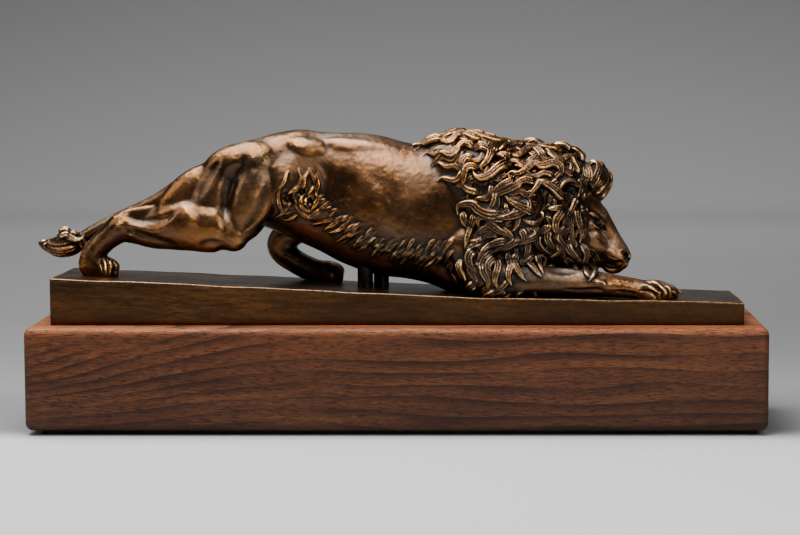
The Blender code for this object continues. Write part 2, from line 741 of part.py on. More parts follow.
def grown_lock(clay, skin, root, side, length, half_width, lift, rng):
    """A lock that waves along the lie of the mane from a root on the skin."""
    steps = 12
    swing, phase = rng.uniform(0.45, 0.95), rng.uniform(0, math.tau)
    turns = length / rng.uniform(16, 24)
    point, normal, _, _ = skin.find_nearest(Vector(root))
    points, normals = [], []
    for i in range(steps + 1):
        share = i / steps
        raised = lift * math.sin(math.pi * min(1.0, 0.1 + 0.75 * share)) - 0.5
        points.append(point + normal * raised)
        normals.append(normal)
        ahead = heading(point, side)
        ahead -= normal * ahead.dot(normal)
        ahead.normalize()
        ahead.rotate(Matrix.Rotation(swing * math.sin(phase + math.tau * turns * share), 3, normal))
        point, normal, _, _ = skin.find_nearest(point + ahead * (length / steps))
    ribbon(clay, points, normals, half_width, half_width * 0.85)


def hair(clay, skin):
    """Locks all over the mane: a first coat that fills it, then the drawn locks over that."""
    rng = random.Random(11)
    for side in (-1, 1):
        for x in range(26, 134, 8):
            for step in range(1, 11):
                turn = math.radians(14 * step + rng.uniform(-6, 6))
                start = Vector((x + rng.uniform(-4, 4), 0, 74))
                way = Vector((0, side * math.sin(turn), math.cos(turn)))
                found, _, _, _ = skin.ray_cast(start, way)
                if found is None or mane_left(found.z) > found.x - 14:
                    continue
                if found.x > 122 and 44 < found.z < 92:
                    continue
                grown_lock(
                    clay,
                    skin,
                    found,
                    side,
                    rng.uniform(16, 28),
                    rng.uniform(2.0, 2.8),
                    rng.uniform(0.8, 2.0),
                    rng,
                )
        for half_width, lift, *line in LOCKS + fringe_locks(rng):
            drawn_lock(clay, skin, half_width, lift, line, side, rng)


def fringe_locks(rng):
    """Short tufts that lean back and down from a line along the belly."""
    roots = smooth_curve(FRINGE_LINE, 20)
    locks = []
    for i in range(FRINGE_TUFTS):
        share = i / (FRINGE_TUFTS - 1)
        x, z = roots[round(share * (len(roots) - 1))]
        lean = np.array(FRINGE_TIPS[0]) * (1 - share) + np.array(FRINGE_TIPS[1]) * share
        reach = rng.uniform(0.8, 1.15)
        bow = rng.uniform(0.5, 2.5)
        line = []
        for t in (0, 0.35, 0.7, 1):
            line.append((x + lean[0] * t * reach, z + lean[1] * t * reach + bow * math.sin(3.1 * t)))
        locks.append((1.9, 1.5, *line))
    return tuple(locks)


def mane_left(z):
    """How far back the mane reaches at a height, in lion units."""
    return float(np.interp(z, (18, 35, 48, 62, 79, 90, 107, 130), (40, 39, 37, 44, 40, 49, 29, 14)))


def from_mesh(mesh, clay):
    points = np.empty(len(mesh.vertices) * 3)
    mesh.vertices.foreach_get("co", points)
    clay.add(points.reshape(-1, 3), [list(face.vertices) for face in mesh.polygons])


# The posts' places, and heights from inside the belly to under the slab's top, in lion units
POSTS = ((-23.5, -8), (-13, 6))
POST_HEIGHTS = (50, 30, 12)


def posts(clay):
    """Two stubby posts that carry the belly."""
    radius = POST_RADIUS / UNIT
    for x, y in POSTS:
        clay.limb([(x, y, z, radius, radius) for z in POST_HEIGHTS])


def lion_mesh(voxel=CAST_VOXEL, triangles=LION_TRIANGLES):
    """The whole lion in lion units, its feet still reaching below the slab's top."""
    skin_mesh = body()
    skin = BVHTree.FromPolygons(
        [v.co.copy() for v in skin_mesh.vertices], [list(face.vertices) for face in skin_mesh.polygons]
    )
    clay = Clay()
    from_mesh(skin_mesh, clay)
    ears(clay)
    posts(clay)
    hair(clay, skin)
    mesh = clay.pressed("lion", voxel, 1)
    lump = bpy.data.objects.new("lump", mesh)
    bpy.context.scene.collection.objects.link(lump)
    fewer = lump.modifiers.new("fewer", "DECIMATE")
    fewer.ratio = triangles / (2 * len(mesh.polygons))
    mesh = evaluated_copy(lump)
    bpy.data.objects.remove(lump)
    tidy_up(mesh)
    return mesh


def tidy_up(mesh):
    """Closes up edges where the skin meets itself, then removes loose crumbs and sealed hollows."""
    shape = bmesh.new()
    shape.from_mesh(mesh)
    bmesh.ops.triangulate(shape, faces=shape.faces)
    pinched = [edge for edge in shape.edges if len(edge.link_faces) != 2]
    while pinched:
        bmesh.ops.collapse(shape, edges=pinched)
        pinched = [edge for edge in shape.edges if len(edge.link_faces) != 2]
    left = set(shape.verts)
    groups = []
    while left:
        group = {left.pop()}
        edge = list(group)
        while edge:
            near = {e.other_vert(v) for v in edge for e in v.link_edges} - group
            group |= near
            edge = list(near)
        left -= group
        groups.append(group)
    groups.sort(key=len)
    for group in groups[:-1]:
        bmesh.ops.delete(shape, geom=list(group), context="VERTS")
    shape.to_mesh(mesh)
    shape.free()


def slab_mesh(name, spread, raise_top, drop, rows, columns):
    """A block with the slab's top, reaching beyond the slab's ends and sides by spread."""
    block = bmesh.new()
    half_x, half_y = SLAB_LENGTH / 2 + spread, SLAB_DEPTH / 2 + spread
    bmesh.ops.create_grid(block, x_segments=columns, y_segments=rows, size=1)
    grid = bmesh.ops.extrude_face_region(block, geom=list(block.faces))["geom"]
    top = {v for v in grid if isinstance(v, bmesh.types.BMVert)}
    for vert in block.verts:
        vert.co.x *= half_x
        vert.co.y *= half_y
        vert.co.z = SLAB_BOTTOM - drop
        if vert in top:
            vert.co.z = SLAB_BOTTOM + raise_top + float(slab_top(vert.co.x, vert.co.y))
    flat = [f for f in block.faces if all(v not in top for v in f.verts)]
    bmesh.ops.dissolve_faces(block, faces=flat)
    bmesh.ops.recalc_face_normals(block, faces=block.faces)
    mesh = bpy.data.meshes.new(name)
    block.to_mesh(mesh)
    block.free()
    return mesh


def rounded_block(name, length, depth, bottom, top, radius, segments):
    """A box with rounded edges."""
    block = bmesh.new()
    bmesh.ops.create_cube(block, size=1)
    for vert in block.verts:
        height = (bottom + top) / 2 + vert.co.z * (top - bottom)
        vert.co = (vert.co.x * length, vert.co.y * depth, height)
    if radius:
        bmesh.ops.bevel(
            block, geom=list(block.edges), offset=radius, segments=segments, profile=0.5, affect="EDGES"
        )
    bmesh.ops.recalc_face_normals(block, faces=block.faces)
    mesh = bpy.data.meshes.new(name)
    block.to_mesh(mesh)
    block.free()
    return mesh


def build():
    for old in list(bpy.data.objects):
        bpy.data.objects.remove(old)
    scene = bpy.context.scene
    pieces = bpy.data.collections.new("lion_sculpture")
    cutters = bpy.data.collections.new("cutters")
    for collection in (pieces, cutters):
        scene.collection.children.link(collection)

    felt = add_object(
        "felt_pad",
        rounded_block(
            "felt_pad",
            WALNUT_LENGTH - 2 * FELT_INSET,
            WALNUT_DEPTH - 2 * FELT_INSET,
            0,
            FELT_THICKNESS,
            0,
            1,
        ),
        pieces,
    )
    felt.data.materials.append(material("dark_felt", (0.02, 0.02, 0.022), 0.95, 0))

    walnut = add_object(
        "walnut_plinth",
        rounded_block(
            "walnut_plinth",
            WALNUT_LENGTH,
            WALNUT_DEPTH,
            WALNUT_BOTTOM,
            WALNUT_BOTTOM + WALNUT_HEIGHT,
            WALNUT_EDGE_RADIUS,
            3,
        ),
        pieces,
    )
    walnut.data.materials.append(material("walnut", (0.17, 0.085, 0.045), 0.45, 0))

    slab = add_object("bronze_slab", slab_mesh("bronze_slab", 0, 0, 0, SLAB_ROWS, SLAB_COLUMNS), pieces)
    rim = slab.modifiers.new("edge", "BEVEL")
    rim.width = SLAB_EDGE
    rim.segments = 2
    rim.limit_method = "ANGLE"
    rim.angle_limit = math.radians(40)
    slab.data.materials.append(material("slab_bronze", (0.09, 0.055, 0.03), 0.38, 1))

    mesh = lion_mesh()
    points = np.empty(len(mesh.vertices) * 3)
    mesh.vertices.foreach_get("co", points)
    mesh.vertices.foreach_set("co", placed(points.reshape(-1, 3)).reshape(-1))
    mesh.update()
    lion = add_object("lion", mesh, pieces)
    lion.data.materials.append(material("lion_bronze", (0.14, 0.08, 0.04), 0.35, 1))

    cutter = slab_mesh(
        "slab_cutter", CUTTER_SPREAD, CLEARANCE, CUTTER_DROP, 2 * SLAB_ROWS, 2 * SLAB_COLUMNS
    )
    under = add_object("slab_cutter", cutter, cutters)
    under.hide_render = True
    under.display_type = "WIRE"
    seat = lion.modifiers.new("seat", "BOOLEAN")
    seat.operation = "DIFFERENCE"
    seat.solver = "EXACT"
    seat.object = under


if __name__ == "__main__":
    build()
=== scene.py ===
import math
import random

import bmesh
import bpy
import numpy as np
from mathutils import Matrix, Vector
from mathutils.bvhtree import BVHTree


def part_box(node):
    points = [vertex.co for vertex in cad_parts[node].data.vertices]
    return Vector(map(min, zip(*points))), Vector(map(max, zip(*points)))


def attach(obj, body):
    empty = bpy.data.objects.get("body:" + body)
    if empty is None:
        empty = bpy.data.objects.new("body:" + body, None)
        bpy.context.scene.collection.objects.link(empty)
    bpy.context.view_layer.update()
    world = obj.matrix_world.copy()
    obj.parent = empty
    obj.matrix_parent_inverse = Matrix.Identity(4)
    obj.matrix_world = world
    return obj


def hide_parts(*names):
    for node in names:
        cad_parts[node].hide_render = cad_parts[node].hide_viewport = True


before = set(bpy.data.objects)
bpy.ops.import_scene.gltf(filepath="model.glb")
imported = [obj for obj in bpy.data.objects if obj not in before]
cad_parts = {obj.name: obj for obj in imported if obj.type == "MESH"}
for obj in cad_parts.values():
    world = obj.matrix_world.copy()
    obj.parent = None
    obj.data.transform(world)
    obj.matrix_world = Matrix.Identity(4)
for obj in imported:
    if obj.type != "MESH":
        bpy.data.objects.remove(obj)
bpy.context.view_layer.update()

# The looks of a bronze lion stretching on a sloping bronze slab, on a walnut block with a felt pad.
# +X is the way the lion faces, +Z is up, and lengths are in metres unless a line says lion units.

MM = 0.001

# What the frame gives: the slab, the block and the felt as they stand
SLAB_LOW, SLAB_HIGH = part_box("bronze_slab")
WALNUT_LOW, WALNUT_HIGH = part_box("walnut_plinth")
FELT_LOW, FELT_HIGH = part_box("felt_pad")
SLAB_LENGTH = SLAB_HIGH.x - SLAB_LOW.x
SLAB_DEPTH = SLAB_HIGH.y - SLAB_LOW.y
SLAB_BOTTOM = SLAB_LOW.z

# The slab's length and its heights at the tail end, at a knee and at the head end: its top falls
# quickly to the knee, then slowly
SLAB_SHAPE = (SLAB_LENGTH, 31.6 * MM, 18.9 * MM, 15.4 * MM)
SLAB_KNEE_SHARE = 0.57
SLAB_KNEE_SOFTNESS = 0.04
SLAB_BACK_DROP = 1.7 * MM
SLAB_WAVE = 0.2 * MM

# The lion is drawn in units of a 447th of its length, with heights from the underside of a slab
# drawn in the same units
SLAB_OVER_LION = 24 * MM
DRAWN_LENGTH = 447
DRAWN_SLAB = (471, 31.6, 18.9, 15.4)
UNIT = (SLAB_LENGTH - SLAB_OVER_LION) / DRAWN_LENGTH

# The posts under the belly, placed in lion units, and the joint line under the feet
POST_RADIUS = 5.4 * MM
POST_PLACES = ((-23.5, -8), (-13, 6))
CLEARANCE = 0.3 * MM

# The fineness of the bare form's clay and of the casting's, in lion units, and how often each is
# smoothed; how many triangles the casting keeps, and the x where it is parted
FORM_VOXEL, FORM_ROUNDS = 0.95, 19
CAST_VOXEL, CAST_ROUNDS = 0.52, 1
CAST_TRIANGLES = 435000
SECTION_X = 56

# How many edges away the fine and the broad relief are measured
FINE_ROUNDS = 6
BROAD_ROUNDS = 40

# How far the feet reach under the slab's top, in lion units, before they are cut level with it
FOOT_DEPTH = 8

# How finely the slab is divided, and the softness of the pieces' edges
SLAB_COLUMNS = 236
SLAB_ROWS = 46
SLAB_LAYERS = 9
SLAB_EDGE = 0.7 * MM
WALNUT_EDGE_RADIUS = 5 * MM
FELT_EDGE_RADIUS = 0.6 * MM

# The stage: how far it reaches, and where and how it curves up into the backdrop
STAGE_REACH = 4.0
SWEEP_START = 1.9
SWEEP_RADIUS = 0.6
SWEEP_STEPS = 16
# Its grey at places along it, pale in front, then painted shade: a painted shadow just behind the
# block, and painted light and shade up the backdrop; metres behind the origin plus metres up the
# backdrop
STAGE_SHADE_PLACES = (-0.078, -0.04, 0.03, 0.1, 0.17, 0.37, 0.59, 0.85, 1.2, 1.65, 2.06, 2.42, 2.78)
STAGE_PAINTED_GREYS = (
    0.58, 0.185, 0.18, 0.195, 0.223, 0.187, 0.189, 0.228, 0.297, 0.445, 0.5, 0.4, 0.285
)

# The soft lights: name, place, what they face, width and height, power
SOFTBOXES = (
    ("overhead", (-0.25, -0.12, 1.1), (0, 0, 0.1), (1.3, 0.8), 33),
    ("left", (-1.2, -0.4, 0.9), (0, 0, 0.1), (0.6, 0.8), 4),
    ("right", (0.52, -0.72, 0.52), (0.15, -0.02, 0.11), (0.35, 0.35), 3.4),
    ("backdrop", (0, 1.0, 1.3), (0, 2.1, 0.1), (2.4, 0.5), 12),
)
WORLD_GREY = (0.035, 0.035, 0.036, 1)

# The camera, solved from the photo's perspective; it looks down by an angle in degrees
CAMERA_PLACE = (0.0575, -1.555, 0.261)
CAMERA_DOWN = 5.61
FOCAL_LENGTH = 100.8
SENSOR_WIDTH = 36
CAMERA_SHIFT = -0.1025


def fall(x, length, tail, knee, head):
    """The height of a slab's top over its underside at x: a steep fall, a soft knee, a slow one."""
    bend = length * (SLAB_KNEE_SHARE - 0.5)
    share = np.clip((x + length / 2) / (bend + length / 2), 0, 1)
    steep = tail + (knee - tail) * (x + length / 2) / (bend + length / 2)
    slow = knee + (head - knee) * (x - bend) / (length / 2 - bend)
    softness = SLAB_KNEE_SOFTNESS * knee
    return (
        (steep + slow + np.sqrt((steep - slow) ** 2 + softness**2)) / 2
        + softness * 0.8 * np.sin(math.pi * share)
    )


def slab_top(x, y):
    """The height of the bronze slab's top over its underside."""
    wave = np.sin(x * 71 + 0.6) + 0.6 * np.sin(x * 143 - y * 60) + 0.5 * np.sin(y * 110 + x * 37)
    return fall(x, *SLAB_SHAPE) - SLAB_BACK_DROP * (y / SLAB_DEPTH + 0.5) + SLAB_WAVE * wave


def placed(points):
    """Points in lion units, in metres on the slab."""
    x = points[:, 0] * UNIT
    over_slab = (points[:, 2] - fall(points[:, 0], *DRAWN_SLAB)) * UNIT
    height = SLAB_BOTTOM + fall(x, *SLAB_SHAPE) + over_slab
    return np.column_stack((x, points[:, 1] * UNIT, height))


def put(name, data):
    """A new object in the scene."""
    made = bpy.data.objects.new(name, data)
    bpy.context.scene.collection.objects.link(made)
    return made


def modified(mesh, *modifiers):
    """A copy of the mesh with modifiers applied, each a kind and its settings."""
    draft = put("draft", mesh)
    for kind, settings in modifiers:
        modifier = draft.modifiers.new(kind, kind)
        for key, value in settings.items():
            setattr(modifier, key, value)
    graph = bpy.context.evaluated_depsgraph_get()
    graph.update()
    result = bpy.data.meshes.new_from_object(draft.evaluated_get(graph))
    bpy.data.objects.remove(draft)
    return result


def mesh_of(shape, name):
    """The mesh of a bmesh, which is freed."""
    mesh = bpy.data.meshes.new(name)
    shape.to_mesh(mesh)
    shape.free()
    return mesh


def rows_of_three(items, key):
    numbers = np.empty(len(items) * 3)
    items.foreach_get(key, numbers)
    return numbers.reshape(-1, 3)


def all_points(mesh):
    return rows_of_three(mesh.vertices, "co")


def all_normals(mesh):
    return rows_of_three(mesh.vertex_normals, "vector")


def set_points(mesh, points):
    mesh.vertices.foreach_set("co", points.reshape(-1))
    mesh.update()


def smooth_curve(knots, steps):
    """Rows of numbers on a Catmull-Rom curve through the knots, with steps rows to each span."""
    knots = np.array(knots, float)
    padded = np.vstack([2 * knots[0] - knots[1], knots, 2 * knots[-1] - knots[-2]])
    rows = []
    for i in range(len(knots) - 1):
        a, b, c, d = padded[i : i + 4]
        for t in np.arange(steps) / steps:
            rows.append(
                0.5
                * (
                    2 * b
                    + (c - a) * t
                    + (2 * a - 5 * b + 4 * c - d) * t**2
                    + (3 * b - a - 3 * c + d) * t**3
                )
            )
    rows.append(knots[-1])
    return np.array(rows)


def unit_ball():
    """The corners and faces of a ball of radius 1."""
    ball = bmesh.new()
    bmesh.ops.create_uvsphere(ball, u_segments=24, v_segments=14, radius=1)
    points = np.array([v.co for v in ball.verts])
    faces = [[v.index for v in face.verts] for face in ball.faces]
    ball.free()
    return points, faces


class Clay:
    """Closed lumps of clay in one mesh, pressed together at the end."""

    def __init__(self):
        self.points = []
        self.faces = []
        self.count = 0
        self.ball_points, self.ball_faces = unit_ball()

    def add(self, points, faces):
        self.points.append(points)
        self.faces += [[i + self.count for i in face] for face in faces]
        self.count += len(points)

    def add_mesh(self, mesh):
        self.add(all_points(mesh), [list(face.vertices) for face in mesh.polygons])

    def loft(self, rings):
        """A closed tube through rings that hold equally many points."""
        count = len(rings[0])
        faces = []
        for low in range(0, (len(rings) - 1) * count, count):
            for i in range(count):
                after = (i + 1) % count
                faces.append((low + i, low + after, low + count + after, low + count + i))
        faces.append(list(range(count))[::-1])
        faces.append([len(rings) * count - count + i for i in range(count)])
        self.add(np.array([p for ring in rings for p in ring], float), faces)

    def barrel(self, sections, sides):
        """A closed tube through cross-sections of x, top, underside, widest height, half width."""
        rings = []
        for x, top, bottom, widest, half_width in smooth_curve(sections, 5):
            ring = []
            for turn in (math.tau * i / sides for i in range(sides)):
                up = math.cos(turn)
                reach = (top - widest) if up > 0 else (widest - bottom)
                ring.append((x, half_width * math.sin(turn), widest + reach * up))
            rings.append(ring)
        self.loft(rings)

    def limb(self, knots, sides=22, steps=8):
        """A tube through knots of x, y, z, upright radius and sideways radius, with round ends."""
        rows = smooth_curve(knots, steps)
        tangents = np.gradient(rows[:, :3], axis=0)
        turns = np.arange(sides) * math.tau / sides
        rings = []
        for row, tangent in zip(rows, tangents):
            across, up = crosswise(tangent)
            rings.append(
                row[:3]
                + np.outer(np.cos(turns) * row[4], across)
                + np.outer(np.sin(turns) * row[3], up)
            )
        self.loft(rings)
        for row in (rows[0], rows[-1]):
            self.ball(row[:3], (row[3], row[4], row[3]))

    def ball(self, centre, radii, turn=0.0):
        """An ellipsoid, turned about Y by an angle in degrees."""
        turn = np.array(Matrix.Rotation(math.radians(turn), 3, "Y"))
        self.add((self.ball_points * radii) @ turn.T + centre, self.ball_faces)

    def muscle(self, start, end, across, thick):
        """An ellipsoid from start to end, with its radius across (towards Y) and its other one."""
        start, end = np.array(start, float), np.array(end, float)
        half = np.linalg.norm(end - start) / 2
        side, up = crosswise(end - start)
        axes = np.array(((end - start) / 2 / half, side, up))
        middle = (start + end) / 2
        self.add((self.ball_points * (half, across, thick)) @ axes + middle, self.ball_faces)

    def pressed(self, voxel, rounds):
        """One closed mesh of everything put in, melted together and smoothed some rounds."""
        mesh = bpy.data.meshes.new("clay")
        mesh.from_pydata(np.concatenate(self.points), [], self.faces)
        outward(mesh)
        return modified(
            mesh,
            ("REMESH", {"mode": "VOXEL", "voxel_size": voxel}),
            ("SMOOTH", {"factor": 0.5, "iterations": rounds}),
        )


def crosswise(along):
    """Two unit directions across a line: one as near to Y as can be, and the one over it."""
    along = np.array(along, float) / np.linalg.norm(along)
    across = np.array((0, 1, 0)) - along * along[1]
    across /= np.linalg.norm(across)
    return across, np.cross(across, along)


def outward(mesh):
    """Turns every face outwards."""
    shape = bmesh.new()
    shape.from_mesh(mesh)
    bmesh.ops.recalc_face_normals(shape, faces=shape.faces)
    shape.to_mesh(mesh)
    shape.free()


# Cross-sections of the trunk: x, top, underside, height of the widest place, half width
TRUNK = (
    (-130, 108, 88, 98, 8), (-120, 114.5, 74, 96, 17), (-104, 122.5, 66, 96, 23.5),
    (-91, 127, 62, 95, 26), (-77, 130.2, 56, 93, 26), (-66, 131, 51, 90, 24.5),
    (-55, 129.4, 46, 86, 23.5), (-42, 128.8, 39, 80, 25), (-27, 128.6, 33, 74, 28),
    (-12, 126.6, 29, 70, 30.5), (5, 122, 27, 68, 32), (22, 119.5, 23, 66, 32.5),
    (40, 119, 15, 64, 33), (60, 117, 9, 60, 32), (80, 110, 9, 56, 30), (100, 98, 14, 54, 25),
    (114, 88, 26, 56, 19),
)


def trunk(clay):
    clay.barrel(TRUNK, 44)
    # Hip bones, loin and the spine's two ridges
    for side in (-1, 1):
        clay.muscle((-86, side * 10, 119), (-46, side * 12, 116), 8.5, 9)
        clay.muscle((-60, side * 9, 121), (10, side * 10, 113), 7.5, 8)
        clay.muscle((-26, side * 22, 96), (26, side * 25, 46), 8.5, 21)


def tail(clay):
    clay.limb((
        (-100, 0, 109, 12, 12), (-116, 0, 105, 11, 11), (-131, 0, 100.5, 9, 9),
        (-148, 1.5, 93.2, 6.8, 6.8), (-166, 4, 82.6, 5.6, 5.6), (-178, 6, 76.4, 5.2, 5.2),
        (-192, 8, 70.3, 5, 5), (-205, 9.5, 64.2, 4.8, 4.8), (-216, 10.5, 58.6, 4.6, 4.6),
        (-225, 11, 53, 4.6, 4.6),
    ))
    # The tuft: a fat drop that turns up at its tip, with a curl on top
    clay.limb((
        (-222, 11, 54, 5, 5), (-229, 11, 50, 7.5, 7), (-237, 11, 47.6, 7.2, 7),
        (-245, 11, 48, 5, 5), (-251, 11, 50, 3, 3), (-254, 11, 52.2, 1.0, 1.0),
    ))
    clay.muscle((-228, 10, 54), (-242, 10, 54), 5.5, 5)


def near_hind_leg(clay):
    """The right hind leg, stretched far back."""
    clay.muscle((-136, -13, 100), (-74, -13, 108), 14, 19)
    clay.muscle((-92, -15, 116), (-110, -24, 54), 13, 17)
    clay.muscle((-110, -14, 113), (-141, -19, 58), 12, 17)
    clay.muscle((-126, -12, 106), (-168, -15, 66), 10, 13)
    clay.muscle((-79, -16, 104), (-107, -21, 62), 9, 8)
    clay.limb((
        (-113, -24, 58.5, 10.8, 9.5), (-120, -23, 62, 15.6, 11.5), (-132, -22, 64.6, 17.6, 12),
        (-150, -19, 65.6, 17, 11.5), (-163, -16, 63, 14.6, 10.3), (-172, -14, 62.4, 12.8, 9.3),
        (-181, -12.5, 63.2, 11.2, 8.4), (-191, -11, 63.5, 10.8, 8.2), (-200, -9.5, 57.4, 8.6, 7.8),
        (-207, -8.5, 51.2, 8.2, 7.6), (-212.5, -7.5, 44, 8.4, 7.8), (-214, -7, 37.5, 9, 8.5),
    ))
    clay.muscle((-150, -16, 78), (-196, -10.5, 72.5), 4.5, 4.2)
    clay.muscle((-128, -22, 50.5), (-178, -15, 53.5), 5, 3.6)
    hind_paw(clay, -208, -7, 29.5)


# A hind paw's toes: place across the paw, reach, height of the knuckle and thickness
HIND_TOES = ((-7, 5, 4.2, 3.7), (-2.6, 9.5, 5.4, 4), (2.2, 9.5, 5.4, 4), (6.6, 6.5, 4.2, 3.7))
# A forepaw's toes: place across the paw and reach
FORE_TOES = ((-7.4, 8.5), (-2.7, 12.5), (2.2, 12.5), (6.8, 9))
# The near and the far forepaw: x, y, the slab's height there, and how much higher the paw is held
FORE_PAWS = ((176, -28, 16.6, 0), (137, 14, 17.2, -1))


def hind_paw(clay, x, y, ground):
    """A hind foot that points to +X; the ground is the slab's height under it."""
    clay.ball((x, y, ground + 6.5), (14.5, 9, 7.5))
    clay.ball((x + 1, y, ground + 1), (12.5, 8.4, FOOT_DEPTH))
    for side, reach, height, thick in HIND_TOES:
        knuckle = (x - 3, y + side * 0.7, ground + 10.5)
        clay.muscle(knuckle, (x + reach + 4.2, y + side, ground + 0.8), 2.9, thick)
        clay.ball((x + reach - 0.5, y + side, ground + height), (4.3, 2.9, 4.2))


def far_hind_leg(clay):
    """The left hind leg, drawn forward under the belly."""
    clay.muscle((-124, 13, 102), (-74, 13, 108), 14, 19)
    clay.muscle((-98, 16, 114), (-62, 27, 64), 12, 20)
    clay.muscle((-112, 15, 108), (-84, 24, 66), 11, 16)
    clay.limb((
        (-62, 28, 72, 13, 10), (-70, 28, 64, 13, 10), (-79, 27, 56.5, 11.2, 9),
        (-85.5, 26.5, 49, 9.6, 8.5), (-83, 26.5, 42.5, 9.2, 8.2), (-75, 26.5, 36.6, 8.6, 8),
        (-66, 27, 31.6, 8.6, 8.4), (-58, 27, 28.6, 8.6, 8.8),
    ))
    hind_paw(clay, -54, 27, 23.2)


def foreleg(clay, knots, paw_x, paw_y, ground, rise):
    """A foreleg laid along the slab, its paw pointing to +X."""
    clay.limb(knots)
    clay.ball((paw_x - 2, paw_y, ground + 5.4 + rise), (14.5, 8.8, 7.2))
    clay.ball((paw_x, paw_y, ground + 1), (15, 8.6, FOOT_DEPTH))
    for side, reach in FORE_TOES:
        clay.muscle(
            (paw_x - 7, paw_y + side * 0.62, ground + 9.4 + rise),
            (paw_x + reach + 4.6, paw_y + side, ground + 0.4),
            3,
            3.9,
        )
        clay.ball((paw_x + reach - 1.5, paw_y + side, ground + 5.2), (4.6, 3, 4.4))


def forelegs(clay):
    near, far = FORE_PAWS
    # The near one reaches well past the head
    knots = (
        (48, -27, 52, 16, 11), (56, -30, 38, 15, 11), (66, -31, 30, 13.5, 11.5),
        (82, -31, 28.6, 12, 11), (100, -30.5, 27.8, 10.6, 10), (118, -30, 27.2, 9.8, 9),
        (136, -29, 26, 9, 8.4), (152, -28.5, 24.2, 7.8, 8), (164, -28, 22.8, 7, 8.4),
    )
    foreleg(clay, knots, *near)
    clay.ball((144, -34.5, 25.5), (6, 2.6, 4))
    # The far one ends under the chin
    knots = (
        (48, 27, 52, 16, 11), (56, 30, 38, 15, 11), (68, 29, 29, 12.5, 11),
        (84, 26, 27.6, 10.6, 10), (102, 21.5, 26.4, 9.2, 8.8), (118, 17.5, 25, 8, 8),
        (126, 16, 23.6, 7.2, 8.2),
    )
    foreleg(clay, knots, *far)


def head(clay):
    """The skull, muzzle, jaw and throat; the nose points down and forward."""
    clay.ball((122, 0, 74), (20, 17, 18))
    # Forehead and the straight bridge of the nose, down to the nose pad
    clay.limb((
        (128, 0, 77, 9, 10), (136, 0, 71, 9.4, 8.6), (142, 0, 63.5, 7.8, 6.6),
        (148.5, 0, 54, 6.6, 5.8), (155, 0, 45.6, 5.6, 5.6),
    ))
    clay.ball((157.6, 0, 43), (4.6, 4.8, 4.2), 40)
    # Muzzle, upper lips, chin and jaw
    clay.ball((147, 0, 46), (11, 9.5, 9.5), 30)
    for side in (-1, 1):
        clay.ball((149.5, side * 4.8, 43.5), (8.2, 5, 6), 25)
        clay.muscle((122, side * 11.5, 60), (144, side * 7, 46), 5.5, 9)
        clay.muscle((118, side * 14, 69), (141, side * 9.6, 64), 4, 3.6)
        clay.muscle((130, side * 9, 77), (143.5, side * 6, 70), 4.6, 4.6)
        clay.ball((140, side * 8.2, 66.2), (2.9, 2.6, 2.7))
        clay.muscle((112, side * 12, 52), (140, side * 6, 40), 6, 7.5)
        clay.ball((154, side * 2.8, 38.2), (6.2, 4.2, 5.2))
    clay.ball((149, 0, 34.3), (7.4, 5.4, 4.4))
    clay.muscle((122, 0, 50), (146, 0, 37), 9, 7)
    # The throat, down to the forelegs
    clay.muscle((104, 0, 33), (138, 0, 32), 10, 6)


# Cross-sections of the mane's mass: x, top, underside, height of the widest place, half width
MANE = (
    (14, 118.5, 104, 112, 6), (24, 124, 84, 106, 20), (34, 128.5, 62, 98, 28),
    (46, 130.5, 36, 88, 34), (60, 127.5, 22, 78, 37), (76, 122.5, 16, 72, 38.5),
    (92, 120, 16, 70, 37.5), (106, 119.5, 24, 72, 33), (118, 116.5, 34, 74, 27),
    (127, 108, 44, 76, 20), (132, 99, 56, 78, 14),
)


def mane_mass(clay):
    clay.barrel(MANE, 40)
    # The crest over the brow, and the ruff under the cheeks
    clay.muscle((119, 0, 97), (145, 0, 93), 18, 12)
    clay.muscle((121, 0, 94), (144, 0, 98.5), 15, 10.5)
    for side in (-1, 1):
        clay.muscle((112, side * 20, 80), (124, side * 19, 36), 8, 13)


# Marks pressed into the near side of the clay, seen from the side: depth, width, then x and z
NEAR_MARKS = (
    # Between the bands of the thigh
    (2.0, 4.5, (-104, 115), (-107, 107), (-113, 101), (-116, 91), (-118, 76), (-118, 61)),
    (1.3, 3.5, (-122, 110), (-128, 102), (-133, 93), (-136, 84)),
    (1.3, 3.2, (-89, 94), (-92, 82), (-99, 72), (-107, 62)),
    (-0.9, 3.0, (-76, 103), (-83, 93), (-86, 82), (-94, 72), (-107, 60)),
    (1.6, 6.0, (-84, 111), (-79, 115), (-73, 119)),
    # The calf, the hollow before the heel's sinew, the shin and the knee
    (-1.3, 4.0, (-147, 80), (-142, 72), (-136, 67)),
    (2.2, 3.0, (-188, 71.5), (-176, 70), (-161, 71), (-152, 76)),
    (1.1, 2.4, (-184, 62.5), (-178, 60), (-165, 56), (-151, 53)),
    (-1.0, 1.9, (-188, 66), (-179, 64.5), (-167, 62), (-156, 67)),
    (-1.5, 2.2, (-194, 65), (-191, 66)), (-1.3, 2.0, (-185, 60), (-183, 59)),
    (1.0, 2.4, (-136, 52), (-129, 55), (-120, 55)),
)
